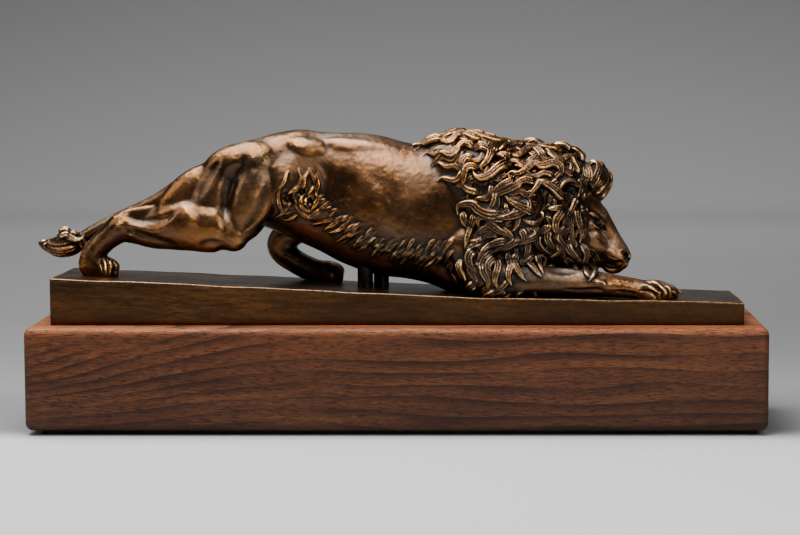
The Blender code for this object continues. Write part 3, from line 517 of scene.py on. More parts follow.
# Marks on both sides
TWIN_MARKS = (
    # The fold before the haunch, and the ribs
    (1.4, 4.0, (-54, 108), (-49, 102), (-48, 95), (-50, 86)),
    (0.5, 5.5, (-39, 105), (-35, 98), (-27, 92), (-20, 84), (-14, 76)),
    (-0.15, 4.5, (-30, 106), (-24, 97), (-14, 87), (-8, 78)),
    (0.35, 5.0, (-20, 104), (-13, 96), (-5, 87), (0, 78)),
    (0.25, 4.5, (2, 102), (9, 92), (15, 80), (18, 68)),
    # The loin's hollows, softened
    (-0.9, 3.2, (-74, 121), (-66, 118), (-57, 115)),
    (-0.6, 2.6, (-46, 119.5), (-36, 118.5), (-27, 117.5)),
    # Eye, cheek, lips and nostril
    (1.5, 1.3, (135.4, 67.8), (138.5, 65.4), (141.3, 62.6), (144, 59.6)),
    (-1.2, 1.7, (129.6, 75.2), (133.6, 73.6), (137.6, 71.6)),
    (-0.8, 1.6, (132.6, 65.2), (135.7, 62.1), (139, 58.3)),
    (-0.7, 1.5, (143.6, 47.4), (147, 47), (150, 44.4)),
    (1.0, 1.6, (134, 71.5), (138.5, 70), (142.5, 68.6)),
    (0.9, 1.9, (138, 56.5), (143.5, 52.5), (149, 50.5)),
    (1.3, 1.1, (141, 38.5), (147.5, 37.6), (152.5, 39.2), (155.5, 37.8)),
    (1.5, 1.1, (157, 42.2), (159.5, 44.6)), (-0.6, 2.0, (128, 66), (134, 61), (141, 57)),
)
# Deep gaps in the mane, on both sides
PITS = (
    (7.0, 5.4, (116.5, 88.5), (118.5, 90)),
    (5.5, 4.5, (100, 92), (101, 78), (98, 68), (96, 55), (101, 45), (111, 38), (121, 36)),
    (2.5, 3.0, (63, 117), (70, 113)), (3.0, 3.0, (72, 110), (79, 105)),
    (2.5, 3.0, (81, 86), (90, 83)), (3.0, 4.0, (28, 40), (37, 31)),
    (3.0, 2.4, (129, 93), (131, 87)),
    # Holes between the curls of the flank
    (4.5, 2.8, (-77, 87), (-74, 82)), (3.5, 2.0, (-67, 92), (-64, 87)),
    (3.5, 1.9, (-63, 86), (-60, 81)), (2.5, 2.0, (-57, 97), (-57, 90)),
)


def press_marks(mesh, marks, side):
    """Moves the skin in, or out where a depth is below zero, along lines seen from one side."""
    points, normals = all_points(mesh), all_normals(mesh)
    facing = np.clip(normals[:, 1] * side * 1.6, 0, 1) * (points[:, 1] * side > 1.5)
    push = np.zeros(len(points))
    for depth, width, *line in marks:
        rows = smooth_curve(line, 6)
        low, high = rows.min(axis=0) - 3 * width, rows.max(axis=0) + 3 * width
        flat = points[:, (0, 2)]
        near = np.nonzero(((flat > low) & (flat < high)).all(axis=1) & (facing > 0))[0]
        least = np.full(len(near), 1e9)
        for (start, end), share in zip(zip(rows, rows[1:]), np.linspace(0, 1, len(rows) - 1)):
            step = end - start
            along = np.clip((flat[near] - start) @ step / (step @ step), 0, 1)
            gap = np.linalg.norm(flat[near] - start - np.outer(along, step), axis=1)
            least = np.minimum(least, gap + width * 1.2 * abs(2 * share - 1) ** 3)
        push[near] += depth * np.exp(-((least / width) ** 2))
    set_points(mesh, points - normals * (push * facing)[:, None])


def body():
    """The bare form, without the mane's locks."""
    clay = Clay()
    for part in (trunk, tail, near_hind_leg, far_hind_leg, forelegs, head, mane_mass):
        part(clay)
    mesh = clay.pressed(FORM_VOXEL, FORM_ROUNDS)
    press_marks(mesh, NEAR_MARKS, -1)
    for side in (-1, 1):
        press_marks(mesh, TWIN_MARKS + PITS, side)
    return mesh


def ears(clay, skin):
    """A round rim, open below, that stands on the hair over a deep hollow."""
    middle_x, middle_z = 117.5, 89.5
    for side in (-1, 1):
        rim = []
        for i in range(13):
            turn = math.radians(-30 + 235 * i / 12)
            across, up = math.cos(turn), math.sin(turn)
            out, _ = on_skin(skin, middle_x + 9 * across, middle_z + 9 * up, side)
            size = 1.0 + 0.9 * math.sin(math.pi * i / 12)
            place = (middle_x + 6.9 * across, out.y + side * 0.4, middle_z + 7.2 * up)
            rim.append((*place, size, size * 1.5))
        clay.limb(rim, sides=14, steps=3)


# The locks that stand out, seen from the side: half width, lift, then x and z from root to tip
CROWN_LOCKS = (
    (2.6, 0.6, (101, 117), (97, 121), (93, 121), (87, 116), (82, 118), (78, 122), (72, 123)),
    (2.6, 0.4, (121, 116), (117, 118), (114, 120), (108, 120), (104, 118)),
    (3.2, 0.4, (127, 106), (126, 113), (122, 117), (117, 118)),
    (1.9, 0.8, (52, 123), (47, 127), (43, 129), (38, 128), (32, 126), (27, 125)),
    (2.4, 0.8, (84, 117), (76, 122), (68, 123), (60, 125), (53, 128)),
    (1.5, 0.6, (34, 124), (25, 124), (20, 122), (16, 119), (11, 117)),
    (1.5, 0.6, (30, 126), (23, 126), (18, 123), (13, 119)),
    (1.6, 0.4, (38, 118), (30, 117), (25, 114), (20, 115), (16, 113)),
    (1.8, 0.6, (52, 122), (42, 119), (38, 115), (32, 116), (27, 111), (22, 107)),
    (1.6, 0.4, (54, 106), (44, 104), (39, 107), (33, 106), (28, 109), (23, 106)),
    (1.7, 0.6, (54, 125), (46, 124), (40, 125), (36, 123), (34, 119)),
    (2.4, 0.8, (66, 117), (58, 121), (55, 124), (50, 123), (46, 118)),
)
NECK_LOCKS = (
    (2.4, 2.5, (82, 118), (86, 119), (93, 121), (98, 119), (103, 115), (109, 112), (117, 109)),
    (2.4, 2.5, (107, 107), (100, 111), (96, 115), (91, 117), (85, 114), (80, 112), (73, 115),
        (66, 113)),
    (2.6, 3.0, (108, 98), (111, 101), (110, 105), (105, 107), (98, 105), (93, 107), (88, 104),
        (82, 101), (77, 102), (71, 99)),
    (2.0, 2.5, (109, 97), (104, 100), (99, 101), (94, 99), (88, 100), (80, 97)),
    (2.4, 2.5, (100, 97), (92, 96), (86, 97), (79, 93), (72, 90), (66, 91)),
    (2.6, 3.5, (116, 82), (110, 85), (106, 90), (101, 94), (96, 96), (91, 94)),
    (2.2, 2.0, (99, 88), (93, 89), (88, 88), (83, 90), (77, 88), (71, 90)),
    (2.6, 2.5, (95, 75), (89, 77), (83, 79), (77, 83), (72, 88)),
    (1.9, 2.0, (96, 85), (88, 86), (80, 85), (75, 86)),
    (1.9, 2.0, (97, 81), (90, 82), (82, 81), (76, 83)),
    (2.4, 2.0, (102, 78), (98, 75), (96, 70), (90, 69), (84, 72)),
    (2.8, 4.0, (50, 117), (54, 118), (57, 118), (60, 116), (62, 112), (60, 108), (57, 106),
        (58, 102)),
    (3.0, 4.5, (80, 105), (77, 106), (73, 106), (68, 104), (63, 100), (57, 98), (53, 100),
        (51, 104)),
    (2.4, 3.0, (82, 98), (77, 96), (72, 94), (67, 91), (63, 86)),
    (2.2, 2.5, (88, 96), (82, 94), (76, 91), (69, 88), (63, 84)),
    (2.0, 2.0, (58, 88), (52, 90), (48, 91), (44, 94), (39, 93)),
    (3.0, 3.0, (77, 75), (70, 75), (63, 75), (56, 78), (52, 82), (46, 82), (41, 79), (41, 74)),
    (2.2, 2.0, (46, 80), (45, 71), (48, 65), (47, 59)),
    (2.2, 2.0, (52, 79), (52, 71), (50, 65), (47, 57), (46, 50)),
    (2.4, 2.5, (70, 66), (62, 66), (56, 63), (51, 58)),
    (2.2, 2.5, (72, 62), (65, 62), (59, 59), (55, 51)),
    (2.4, 2.5, (79, 57), (71, 57), (65, 55), (58, 50), (54, 43)),
    (2.4, 3.0, (57, 72), (63, 69), (70, 64), (76, 61), (79, 55)),
    (2.2, 2.5, (86, 71), (80, 74), (76, 71), (73, 66)),
    (2.4, 2.5, (84, 50), (80, 46), (78, 40), (81, 35), (87, 30)),
)
CHEEK_LOCKS = (
    (2.6, 2.5, (118, 84), (111, 76), (107, 70), (107, 64), (111, 61), (113, 56)),
    (2.2, 1.5, (118, 81), (114, 73), (112, 65), (109, 58)),
    (2.6, 2.5, (122, 83), (121, 74), (123, 67), (125, 61), (124, 54)),
    (2.2, 1.5, (126, 82), (127, 74), (128, 66), (127, 57)),
    (2.2, 2.0, (119, 77), (117, 68), (119, 61), (121, 53)),
    (2.4, 2.0, (105, 68), (102, 59), (105, 53), (109, 48)),
    (2.4, 2.5, (108, 58), (110, 50), (114, 45), (119, 39)),
    (2.2, 2.0, (106, 52), (108, 44), (114, 38)),
    (2.4, 2.5, (115, 56), (118, 50), (122, 45), (126, 39)),
    (2.2, 2.0, (124, 56), (128, 48), (127, 42), (124, 37)),
    (2.6, 2.5, (126, 52), (132, 46), (136, 40), (135, 34), (130, 29)),
    (2.2, 1.5, (124, 44), (129, 39), (128, 34), (132, 30)),
    (2.4, 2.0, (100, 66), (96, 58), (99, 52), (104, 48), (108, 45)),
    (2.2, 1.5, (122, 88), (118, 85), (114, 82), (110, 78), (107, 79)),
    (2.0, 1.5, (125, 86), (121, 82), (118, 77), (116, 71), (117, 66)),
)
CHEST_LOCKS = (
    (2.2, 2.5, (71, 69), (78, 74), (82, 73), (81, 67), (77, 62)),
    (2.2, 2.0, (70, 65), (76, 62), (80, 56)),
    (2.2, 2.5, (82, 67), (86, 61), (85, 56), (81, 54)),
    (2.4, 2.0, (92, 66), (88, 57), (88, 49), (84, 43)),
    (2.6, 2.5, (82, 52), (78, 42), (82, 35), (88, 29)),
    (2.4, 2.0, (86, 50), (88, 41), (93, 36), (98, 32)),
    (2.4, 2.0, (93, 49), (95, 41), (99, 34)),
    (2.2, 2.0, (95, 50), (100, 44), (99, 37)),
    (2.4, 2.0, (72, 45), (77, 39), (75, 33), (78, 26)),
    (2.4, 2.0, (64, 46), (68, 39), (66, 31), (69, 23)),
    (2.4, 2.0, (58, 44), (58, 36), (62, 29), (61, 20)),
    (2.4, 1.5, (50, 46), (50, 38), (54, 30), (52, 21)),
    (2.4, 1.5, (43, 46), (43, 38), (47, 30), (45, 20)),
    (2.2, 1.5, (38, 44), (36, 36), (40, 28), (38, 19)),
)
FORELOCKS = (
    (1.8, 0.8, (123, 84), (125, 90), (126, 96), (124, 102), (120, 104)),
    (1.6, 0.8, (127, 82), (128, 88), (129, 95), (129, 101)),
    (2.0, 0.8, (115.8, 98.8), (118.8, 103.8), (117.8, 107.8), (114.8, 108.8), (112.8, 105.8)),
    (2.2, 0.8, (128.8, 90.8), (128.8, 97.8), (126.8, 103.8), (123.8, 106.8), (119.8, 104.8)),
    (2.2, 0.8, (129.8, 92.8), (131.8, 99.8), (129.8, 105.8), (124.8, 107.8)),
    (2.4, 1.0, (131.8, 92.8), (135.8, 98.8), (137.8, 103.8), (135.8, 107.8), (131.8, 105.8)),
    (2.4, 1.0, (132.8, 88.8), (137.8, 95.8), (140.8, 101.8), (139.8, 106.8), (135.8, 108.8)),
    (2.4, 1.0, (132.8, 84.8), (137.8, 88.8), (142.8, 94.8), (143.8, 100.8), (140.8, 103.8)),
    (2.2, 1.0, (132.8, 80.8), (138.8, 83.8), (142.8, 88.8), (145.8, 94.8), (145.8, 99.8),
        (142.8, 100.8)),
)
# Curls that stand out in the fold of the flank
FLANK_LOCKS = (
    (1.5, 1.2, (-67, 110), (-68, 104), (-66, 98), (-69, 92), (-74, 89), (-79, 86)),
    (1.5, 1.2, (-63, 110), (-61, 104), (-64, 98), (-65, 93), (-70, 90), (-72, 85)),
    (1.4, 1.2, (-59, 109), (-60, 103), (-57, 97), (-59, 91), (-62, 87)),
    (1.4, 1.0, (-54, 107), (-56, 100), (-54, 94), (-56, 88), (-54, 83)),
    (1.5, 1.2, (-74, 101), (-79, 94), (-82, 87), (-81, 80), (-78, 74), (-72, 76)),
    (1.6, 1.4, (-71, 92), (-71, 84), (-68, 77), (-62, 72), (-57, 73), (-55, 78)),
    (1.5, 1.2, (-60, 91), (-65, 87), (-67, 81), (-63, 76), (-58, 76)),
    (1.4, 1.2, (-56, 88), (-61, 86), (-64, 82), (-62, 79)),
    (1.5, 1.2, (-49, 89), (-54, 85), (-57, 80), (-60, 76)),
    (1.5, 1.2, (-48, 82), (-53, 78), (-56, 72), (-60, 69)),
    (1.4, 1.2, (-43, 79), (-49, 77), (-53, 73), (-56, 68)),
    (1.4, 1.2, (-72, 82), (-77, 77), (-81, 73), (-87, 71)),
    (1.4, 1.0, (-64, 75), (-70, 73), (-75, 70), (-80, 70)),
    (1.3, 1.0, (-72, 106), (-76, 101), (-78, 95), (-83, 90)),
)
LOCKS = CROWN_LOCKS + NECK_LOCKS + CHEEK_LOCKS + CHEST_LOCKS + FORELOCKS

# Fine marks on both sides, pressed into the finished clay
FINE_MARKS = (
    # The eye's corners, the nostril and the mouth
    (1.2, 1.0, (136.5, 66.4), (139.6, 65), (141.6, 62.8), (144, 60.6)),
    (3.2, 1.2, (157, 45.2), (158, 42.8), (159.6, 40.2), (161.5, 39)),
    (1.3, 0.8, (141.5, 36.4), (146, 34.6), (151, 34.8), (155.4, 37.2)),
    # The toes of the near forepaw
    (1.7, 1.0, (169, 28.5), (173.5, 26.5), (177.5, 24), (180, 20.8), (179.4, 17.3)),
    (1.7, 1.0, (175, 30), (179.5, 28), (183, 25), (185, 20.8), (184, 17)),
    (1.2, 1.1, (163, 22.3), (170.5, 22.2), (175, 20.2), (176.4, 17.3)),
    (-0.9, 1.3, (164, 25.4), (169, 25.6), (174, 23.6), (177.6, 21)),
    (-0.8, 1.2, (172, 29.5), (177.5, 26.8), (181.6, 22.6)),
    (-1.0, 1.5, (134, 28.4), (139, 28.2), (143, 25.6)),
    (0.9, 1.3, (148, 22), (157, 21.2), (165, 19.8)),
    (0.8, 1.4, (112, 24), (124, 23), (136, 23.5), (141, 22)),
    # The toes of the near hind paw
    (1.5, 0.9, (-205.6, 41.6), (-204, 37), (-204.4, 31)),
    (1.5, 0.9, (-202.4, 42.4), (-200.6, 37), (-200.8, 31)),
    (1.2, 0.9, (-198.6, 42), (-196.8, 37), (-196.6, 31)),
    # Rows of the whiskers
    (0.5, 0.5, (146, 41.4), (149.5, 39.6), (153, 39)),
    (0.5, 0.5, (145, 44), (149, 42.4), (152.5, 41.6)),
)

# Which way the mane lies: x, z, and the heading there
FLOW = (
    (30, 130, -1, -0.25), (90, 122, -1, 0.1), (135, 105, -0.5, 0.8), (75, 100, -0.9, -0.45),
    (60, 75, -0.8, -0.6), (55, 45, -0.25, -1), (85, 40, 0.1, -1), (110, 90, -0.9, -0.2),
    (115, 60, -0.05, -1), (130, 40, 0.3, -0.9), (125, 75, 0.1, -1),
)

# How far down a lock's web may reach for the skin, in lion units
WEB_LIMIT = 7

# How much broader than their drawn width the locks that stand out are
LOCK_BREADTH = 1.35

# Over what share of their length the mane's locks, and the short ones, come up out of the skin
MANE_ROOTED = 0.22
SHORT_ROOTED = 0.55

# How the mane waves: the length of a wave and its swing in radians
WAVE_LENGTH = 23
WAVE_SWING = 0.85

# How far back the mane reaches, in lion units, at some heights
MANE_HEIGHTS = (18, 35, 48, 62, 79, 90, 107, 130)
MANE_BACK = (40, 39, 37, 44, 40, 49, 29, 14)

# The mane's two coats of grown locks: spacing along the neck, turns round it in degrees (first,
# end, step), and the ranges of length, half width and lift
COATS = (
    (6, (8, 156, 9), (16, 28), (2.0, 3.2), (0.0, 0.6)),
    (11, (14, 145, 16), (18, 30), (2.4, 3.8), (1.6, 3.0)),
)

# Lines seen from the side that the hair leaves open: half width, then x and z
GAPS = (
    (3.4, (100, 92), (101, 78), (98, 68), (96, 55), (101, 45), (111, 38), (123, 35)),
    (8.0, (116, 90), (119, 90)), (2.0, (63, 117), (70, 113)), (2.0, (72, 110), (79, 105)),
    (1.8, (58, 93), (72, 95)), (2.0, (81, 86), (90, 83)), (2.5, (28, 40), (37, 31)),
)


def heading(point, side):
    """The way the mane lies at a point: off the crest to its side, then back and down."""
    x, z, ahead_x, ahead_z = np.array(FLOW).T
    weight = 1 / ((x - point.x) ** 2 + (z - point.z) ** 2 + 40)
    weight /= weight.sum()
    crest = 0.9 * max(0.0, 1 - abs(point.y) / 14)
    return Vector(((ahead_x * weight).sum(), side * crest, (ahead_z * weight).sum() - crest * 0.3))


def wave(point, flow):
    """How far the hair turns from its lie at a point; neighbouring locks wave in step."""
    along = (point.x * flow.x + point.z * flow.z) * math.tau / WAVE_LENGTH
    drift = 1.6 * math.sin(0.085 * point.x + 0.05 * point.y)
    drift += 1.3 * math.sin(0.075 * point.z + 0.04 * point.x)
    return WAVE_SWING * math.sin(along + drift)


def from_line(x, z, line):
    """The distance of a place from a line, seen from the side."""
    spot = np.array((x, z))
    line = np.array(line, float)
    least = 1e9
    for start, end in zip(line, line[1:]):
        step = end - start
        along = min(1.0, max(0.0, (spot - start) @ step / (step @ step)))
        least = min(least, np.linalg.norm(spot - start - along * step))
    return least


def in_gap(point):
    return any(from_line(point.x, point.z, line) < width for width, *line in GAPS)


def on_skin(skin, x, z, side):
    """The skin's place and normal at x, z seen from one side; beyond the skin, the place itself."""
    found, normal, _, _ = skin.ray_cast(Vector((x, side * 90, z)), Vector((0, -side, 0)))
    if found is not None:
        return found, normal
    spot = Vector((x, side * 5, z))
    found, normal, _, _ = skin.find_nearest(spot)
    away = spot - found
    far = away.length
    return found + away * min(1.0, 3.0 / max(far, 1e-6)), normal


def lock_outline(strands, shift):
    """Across a lock: its width, the height of its strands, and its underside a unit deep."""
    top = np.linspace(1, -1, 29)[1:-1]
    bottom = np.linspace(-1, 1, 9)
    place = ((top + 1 + 0.12 * np.sin(5 * top + 3 * shift)) / 2 * strands + shift) % 1
    crest = 1 - np.abs(2 * place - 1) ** 1.3
    height = (1 - np.abs(top) ** 3) ** 0.5 * (0.3 + 0.7 * crest)
    under = -np.sqrt(1 - bottom**4)
    spread = np.concatenate((top, bottom))
    return spread, np.concatenate((height, 0 * under)), np.concatenate((0 * height, under))


def ribbon(clay, skin, points, normals, half_width, thick, strands, twist, rooted=MANE_ROOTED):
    """A lock of hair along points: strands that turn about each other, on a web down to the skin.

    It comes up out of the skin over a share of its length, rooted. The later it is up, the later
    it thins out to its tip."""
    last = len(points) - 1
    thinning = 2.3 + 3 * (rooted - MANE_ROOTED)
    rings = []
    for i, (point, normal) in enumerate(zip(points, normals)):
        share = i / last
        along = (points[min(i + 1, last)] - points[max(i - 1, 0)]).normalized()
        across = along.cross(normal).normalized()
        up = across.cross(along)
        spread, height, under = lock_outline(strands, twist * share)
        size = min(1.0, 0.1 + 0.9 * share / rooted) * (1 - 0.88 * share**thinning)
        web = min(skin.find_nearest(point)[3] + 0.6, WEB_LIMIT)
        sunk = 1.2 * thick * max(0.0, 1 - share / rooted)
        rings.append(
            np.array(point - normal * sunk)
            + np.outer(spread * half_width * size, across)
            + np.outer(height * thick * (0.25 + 0.75 * size) + under * web, up)
        )
    clay.loft(rings)


def drawn_lock(clay, skin, half_width, lift, line, side, rng, rooted=MANE_ROOTED):
    """A lock that follows a line seen from the side, raised over the skin."""
    slip = rng.uniform(-1.5, 1.5) if side > 0 else 0
    bend = rng.uniform(-1.2, 1.2) if side > 0 else 0
    rows = smooth_curve(line, 7)
    points, normals = [], []
    for i, (x, z) in enumerate(rows):
        share = i / (len(rows) - 1)
        spot, normal = on_skin(skin, x + slip + bend * math.sin(5 * share), z + bend * share, side)
        raised = lift * math.sin(math.pi * min(1.0, 0.12 + 0.8 * share))
        points.append(spot + normal * raised)
        normals.append(normal)
    # Neighbouring points are averaged, so a lock spans small steps of the skin
    last = len(points) - 1
    for _ in range(5):
        inner = [(points[i - 1] + 2 * points[i] + points[i + 1]) / 4 for i in range(1, last)]
        points = [points[0], *inner, points[-1]]
        normals = [
            (normals[max(i - 1, 0)] + normals[i] + normals[min(i + 1, last)]).normalized()
            for i in range(last + 1)
        ]
    strands = max(2, round(half_width * LOCK_BREADTH * 0.85))
    twist = rng.uniform(-0.4, 0.4)
    breadth, thick = half_width * LOCK_BREADTH, half_width * 1.05
    ribbon(clay, skin, points, normals, breadth, thick, strands, twist, rooted)


def grown_lock(clay, skin, root, side, length, half_width, lift, rng):
    """A lock that waves along the lie of the mane from a root on the skin."""
    steps = 20
    stray = rng.uniform(-0.16, 0.16)
    curl = rng.uniform(-0.8, 0.8)
    point, normal, _, _ = skin.find_nearest(Vector(root))
    points, normals = [], []
    for i in range(steps + 1):
        share = i / steps
        raised = lift * math.sin(math.pi * min(1.0, 0.1 + 0.75 * share))
        points.append(point + normal * raised)
        normals.append(normal)
        if share > 0.4 and in_gap(point):
            break
        flow = heading(point, side)
        turn = wave(point, flow) + stray + curl * max(0.0, share - 0.55) * 2
        ahead = flow - normal * flow.dot(normal)
        ahead.normalize()
        ahead.rotate(Matrix.Rotation(side * turn, 3, normal))
        point, normal, _, _ = skin.find_nearest(point + ahead * (length / steps))
    strands = max(2, round(half_width * 0.85))
    twist = rng.uniform(-0.4, 0.4)
    ribbon(clay, skin, points, normals, half_width, half_width * 0.85, strands, twist)


def coat(clay, skin, side, spacing, turns, lengths, half_widths, lifts, rng):
    """Locks all over the mane of one side, rooted in rows round the neck."""
    for x in np.arange(24, 134, spacing):
        for turn in np.arange(*turns):
            angle = math.radians(turn + rng.uniform(-5, 5))
            start = Vector((x + rng.uniform(-3, 3), 0, 74))
            way = Vector((0, side * math.sin(angle), math.cos(angle)))
            found, _, _, _ = skin.ray_cast(start, way)
            if found is None or mane_left(found.z) > found.x - 16 or in_gap(found):
                continue
            # The face stays bare
            if found.x > 122 and 30 < found.z < 92:
                continue
            sizes = [rng.uniform(*pair) for pair in (lengths, half_widths, lifts)]
            grown_lock(clay, skin, found, side, *sizes, rng)


def hair(clay, skin):
    rng = random.Random(11)
    for side in (-1, 1):
        for settings in COATS:
            coat(clay, skin, side, *settings, rng)
        for half_width, lift, *line in LOCKS:
            drawn_lock(clay, skin, half_width, lift, line, side, rng)


def mane_left(z):
    """How far back the mane reaches at a height, in lion units."""
    return float(np.interp(z, MANE_HEIGHTS, MANE_BACK))


def posts(clay):
    """Two stubby posts that carry the belly."""
    radius = POST_RADIUS / UNIT
    for x, y in POST_PLACES:
        clay.limb([(x, y, z, radius, radius) for z in (50, 30, 12)])


# Beads laid along the skin of the face: radius, lift, then x and z
FACE_BEADS = (
    # Brow, upper and lower lid
    (2.0, 0.6, (129, 74.5), (133, 73.5), (137, 71), (140, 67.5)),
    (0.7, 0.4, (134.5, 69.2), (137, 68.6), (139, 67.4)),
    (0.7, 0.4, (133.6, 66.6), (136, 64.2), (139.4, 62.4), (143.6, 60.2)),
    # The wing of the nostril
    (0.8, 0.1, (152.6, 46.4), (155, 47.6), (157.4, 47.2)),
)
# The belly's fringe: x and z along its roots, how far its tips lean, and each row's drop and count
FRINGE_LINE = ((-46, 82), (-40, 77), (-28, 69), (-12, 61), (8, 55), (26, 53), (40, 57))
FRINGE_TIPS = ((-15, -7), (-9, -10))
FRINGE_ROWS = ((-3, 22), (1, 30), (5, 36))
# The tail's tuft
TUFT_LOCKS = (
    (2.0, 0.8, (-222, 58), (-229, 58.5), (-236, 56), (-241, 53), (-245, 52), (-251.6, 53)),
    (2.0, 0.6, (-222, 54), (-230, 53), (-238, 51), (-245, 50.5), (-251.2, 52.5)),
    (2.0, 0.6, (-222, 51), (-230, 47.5), (-238, 46.5), (-245, 48), (-251.2, 51)),
    (1.8, 0.6, (-226, 47.5), (-234, 43.8), (-241, 44), (-247, 47.5), (-251.6, 51.5)),
    (1.8, 1.2, (-226, 60), (-232, 61), (-237, 58.5), (-235, 55)),
)


def fringe(rng):
    """Short overlapping tufts that lean back and down from lines along the belly."""
    locks = []
    roots = smooth_curve(FRINGE_LINE, 30)
    for drop, count in FRINGE_ROWS:
        for i in range(count):
            share = i / (count - 1)
            x, z = roots[round(share * (len(roots) - 1))] - (0, drop + rng.uniform(-2, 2))
            lean = np.array(FRINGE_TIPS[0]) * (1 - share) + np.array(FRINGE_TIPS[1]) * share
            lean = lean * rng.uniform(0.7, 1.3) + (rng.uniform(-3, 3), rng.uniform(-2, 2))
            bow = rng.uniform(-1.2, 2.6)
            line = []
            for t in (0, 0.3, 0.65, 1):
                line.append((x + lean[0] * t, z + lean[1] * t + bow * math.sin(4.2 * t)))
            locks.append((rng.uniform(0.75, 1.6), rng.uniform(0.3, 1.2) + 0.12 * drop, *line))
    return locks


def bead(clay, skin, radius, lift, line, side):
    """A round bead that follows a line on the skin, thin at both ends."""
    rows = smooth_curve(line, 5)
    knots = []
    for i, (x, z) in enumerate(rows):
        spot, normal = on_skin(skin, x, z, side)
        size = radius * (0.35 + 0.65 * math.sin(math.pi * i / (len(rows) - 1)))
        knots.append((*(spot + normal * lift), size, size))
    clay.limb(knots, sides=12, steps=1)


def claws(clay):
    """A short claw at the end of each toe of the forepaws."""
    for paw_x, paw_y, ground, _ in FORE_PAWS:
        for side, reach in FORE_TOES:
            tip, y = paw_x + reach, paw_y + side
            knots = (
                (tip + 1.5, y, ground + 5.4, 1.5, 1.1),
                (tip + 4.4, y, ground + 4.2, 1.1, 0.8),
                (tip + 6, y, ground + 2.4, 0.5, 0.4),
            )
            clay.limb(knots, sides=10, steps=3)


def cast():
    """The whole lion in lion units, its feet still reaching below the slab's top, and how far each
    of its points stands over the bare skin."""
    skin_mesh = body()
    corners = [v.co.copy() for v in skin_mesh.vertices]
    skin = BVHTree.FromPolygons(corners, [list(face.vertices) for face in skin_mesh.polygons])
    clay = Clay()
    clay.add_mesh(skin_mesh)
    ears(clay, skin)
    posts(clay)
    claws(clay)
    rng = random.Random(5)
    for side in (-1, 1):
        for radius, lift, *line in FACE_BEADS:
            bead(clay, skin, radius, lift, line, side)
        for half_width, lift, *line in TUFT_LOCKS:
            drawn_lock(clay, skin, half_width, lift, line, side, rng)
        for half_width, lift, *line in (*FLANK_LOCKS, *fringe(rng)):
            drawn_lock(clay, skin, half_width, lift, line, side, rng, SHORT_ROOTED)
    hair(clay, skin)
    mesh = clay.pressed(CAST_VOXEL, CAST_ROUNDS)
    for side in (-1, 1):
        press_marks(mesh, FINE_MARKS, side)
    kept = CAST_TRIANGLES / (2 * len(mesh.polygons))
    mesh = modified(mesh, ("DECIMATE", {"ratio": kept}))
    return mesh, [skin.find_nearest(v.co)[3] for v in mesh.vertices]


def spread_out(mesh, values, rounds):
    """Values at the mesh's points, averaged over their surroundings up to rounds edges away."""
    ends = np.empty(len(mesh.edges) * 2, np.int32)
    mesh.edges.foreach_get("vertices", ends)
    a, b = ends.reshape(-1, 2).T
    size = len(mesh.vertices)
    count = np.maximum(np.bincount(a, minlength=size) + np.bincount(b, minlength=size), 1)
    values = np.array(values, float)
    for _ in range(rounds):
        total = np.bincount(a, values[b], size) + np.bincount(b, values[a], size)
        values = (values + total / count) / 2
    return values


def relief(mesh, rounds):
    """How far each point stands over its surroundings."""
    points = all_points(mesh)
    flat = np.column_stack([spread_out(mesh, points[:, axis], rounds) for axis in range(3)])
    return ((points - flat) * all_normals(mesh)).sum(axis=1)


def write_values(mesh, name, values):
    layer = mesh.attributes.new(name, "FLOAT", "POINT")
    layer.data.foreach_set("value", np.asarray(values, np.float32))


def closed_cut(shape, spot, normal):
    """Cuts away what lies beyond a plane and closes the cut."""
    parts = list(shape.verts) + list(shape.edges) + list(shape.faces)
    bmesh.ops.bisect_plane(shape, geom=parts, plane_co=spot, plane_no=normal, clear_outer=True)
    rim = [edge for edge in shape.edges if edge.is_boundary]
    bmesh.ops.triangle_fill(shape, use_beauty=True, use_dissolve=False, edges=rim)
    for edge in rim:
        edge.smooth = False


def shear_to_slab(shape, sign):
    """Levels the slab's top to zero height, or puts it back."""
    for vert in shape.verts:
        vert.co.z += sign * (SLAB_BOTTOM + CLEARANCE + float(slab_top(vert.co.x, vert.co.y)))


def lion_pieces():
    """The casting in three sections that meet under the mane, where no joint shows."""
    mesh, rise = cast()
    write_values(mesh, "fine", relief(mesh, FINE_ROUNDS))
    write_values(mesh, "broad", relief(mesh, BROAD_ROUNDS))
    write_values(mesh, "hairy", spread_out(mesh, rise, BROAD_ROUNDS))
    write_values(mesh, "upward", spread_out(mesh, all_normals(mesh)[:, 2], FINE_ROUNDS))
    set_points(mesh, placed(all_points(mesh)))
    whole = bmesh.new()
    whole.from_mesh(mesh)
    shear_to_slab(whole, -1)
    closed_cut(whole, (0, 0, 0), (0, 0, -1))
    shear_to_slab(whole, 1)
    joint = (SECTION_X * UNIT, 0, 0)
    sections = {
        "lion_body": ((joint, (1, 0, 0)),),
        "lion_mane_right": ((joint, (-1, 0, 0)), ((0, 0, 0), (0, 1, 0))),
        "lion_mane_left": ((joint, (-1, 0, 0)), ((0, 0, 0), (0, -1, 0))),
    }
    made = []
    for name, cuts in sections.items():
        shape = whole.copy()
        for spot, normal in cuts:
            closed_cut(shape, spot, normal)
        section = mesh_of(shape, name)
        section.shade_smooth()
        made.append(put(name, section))
    whole.free()
    return made


# Materials


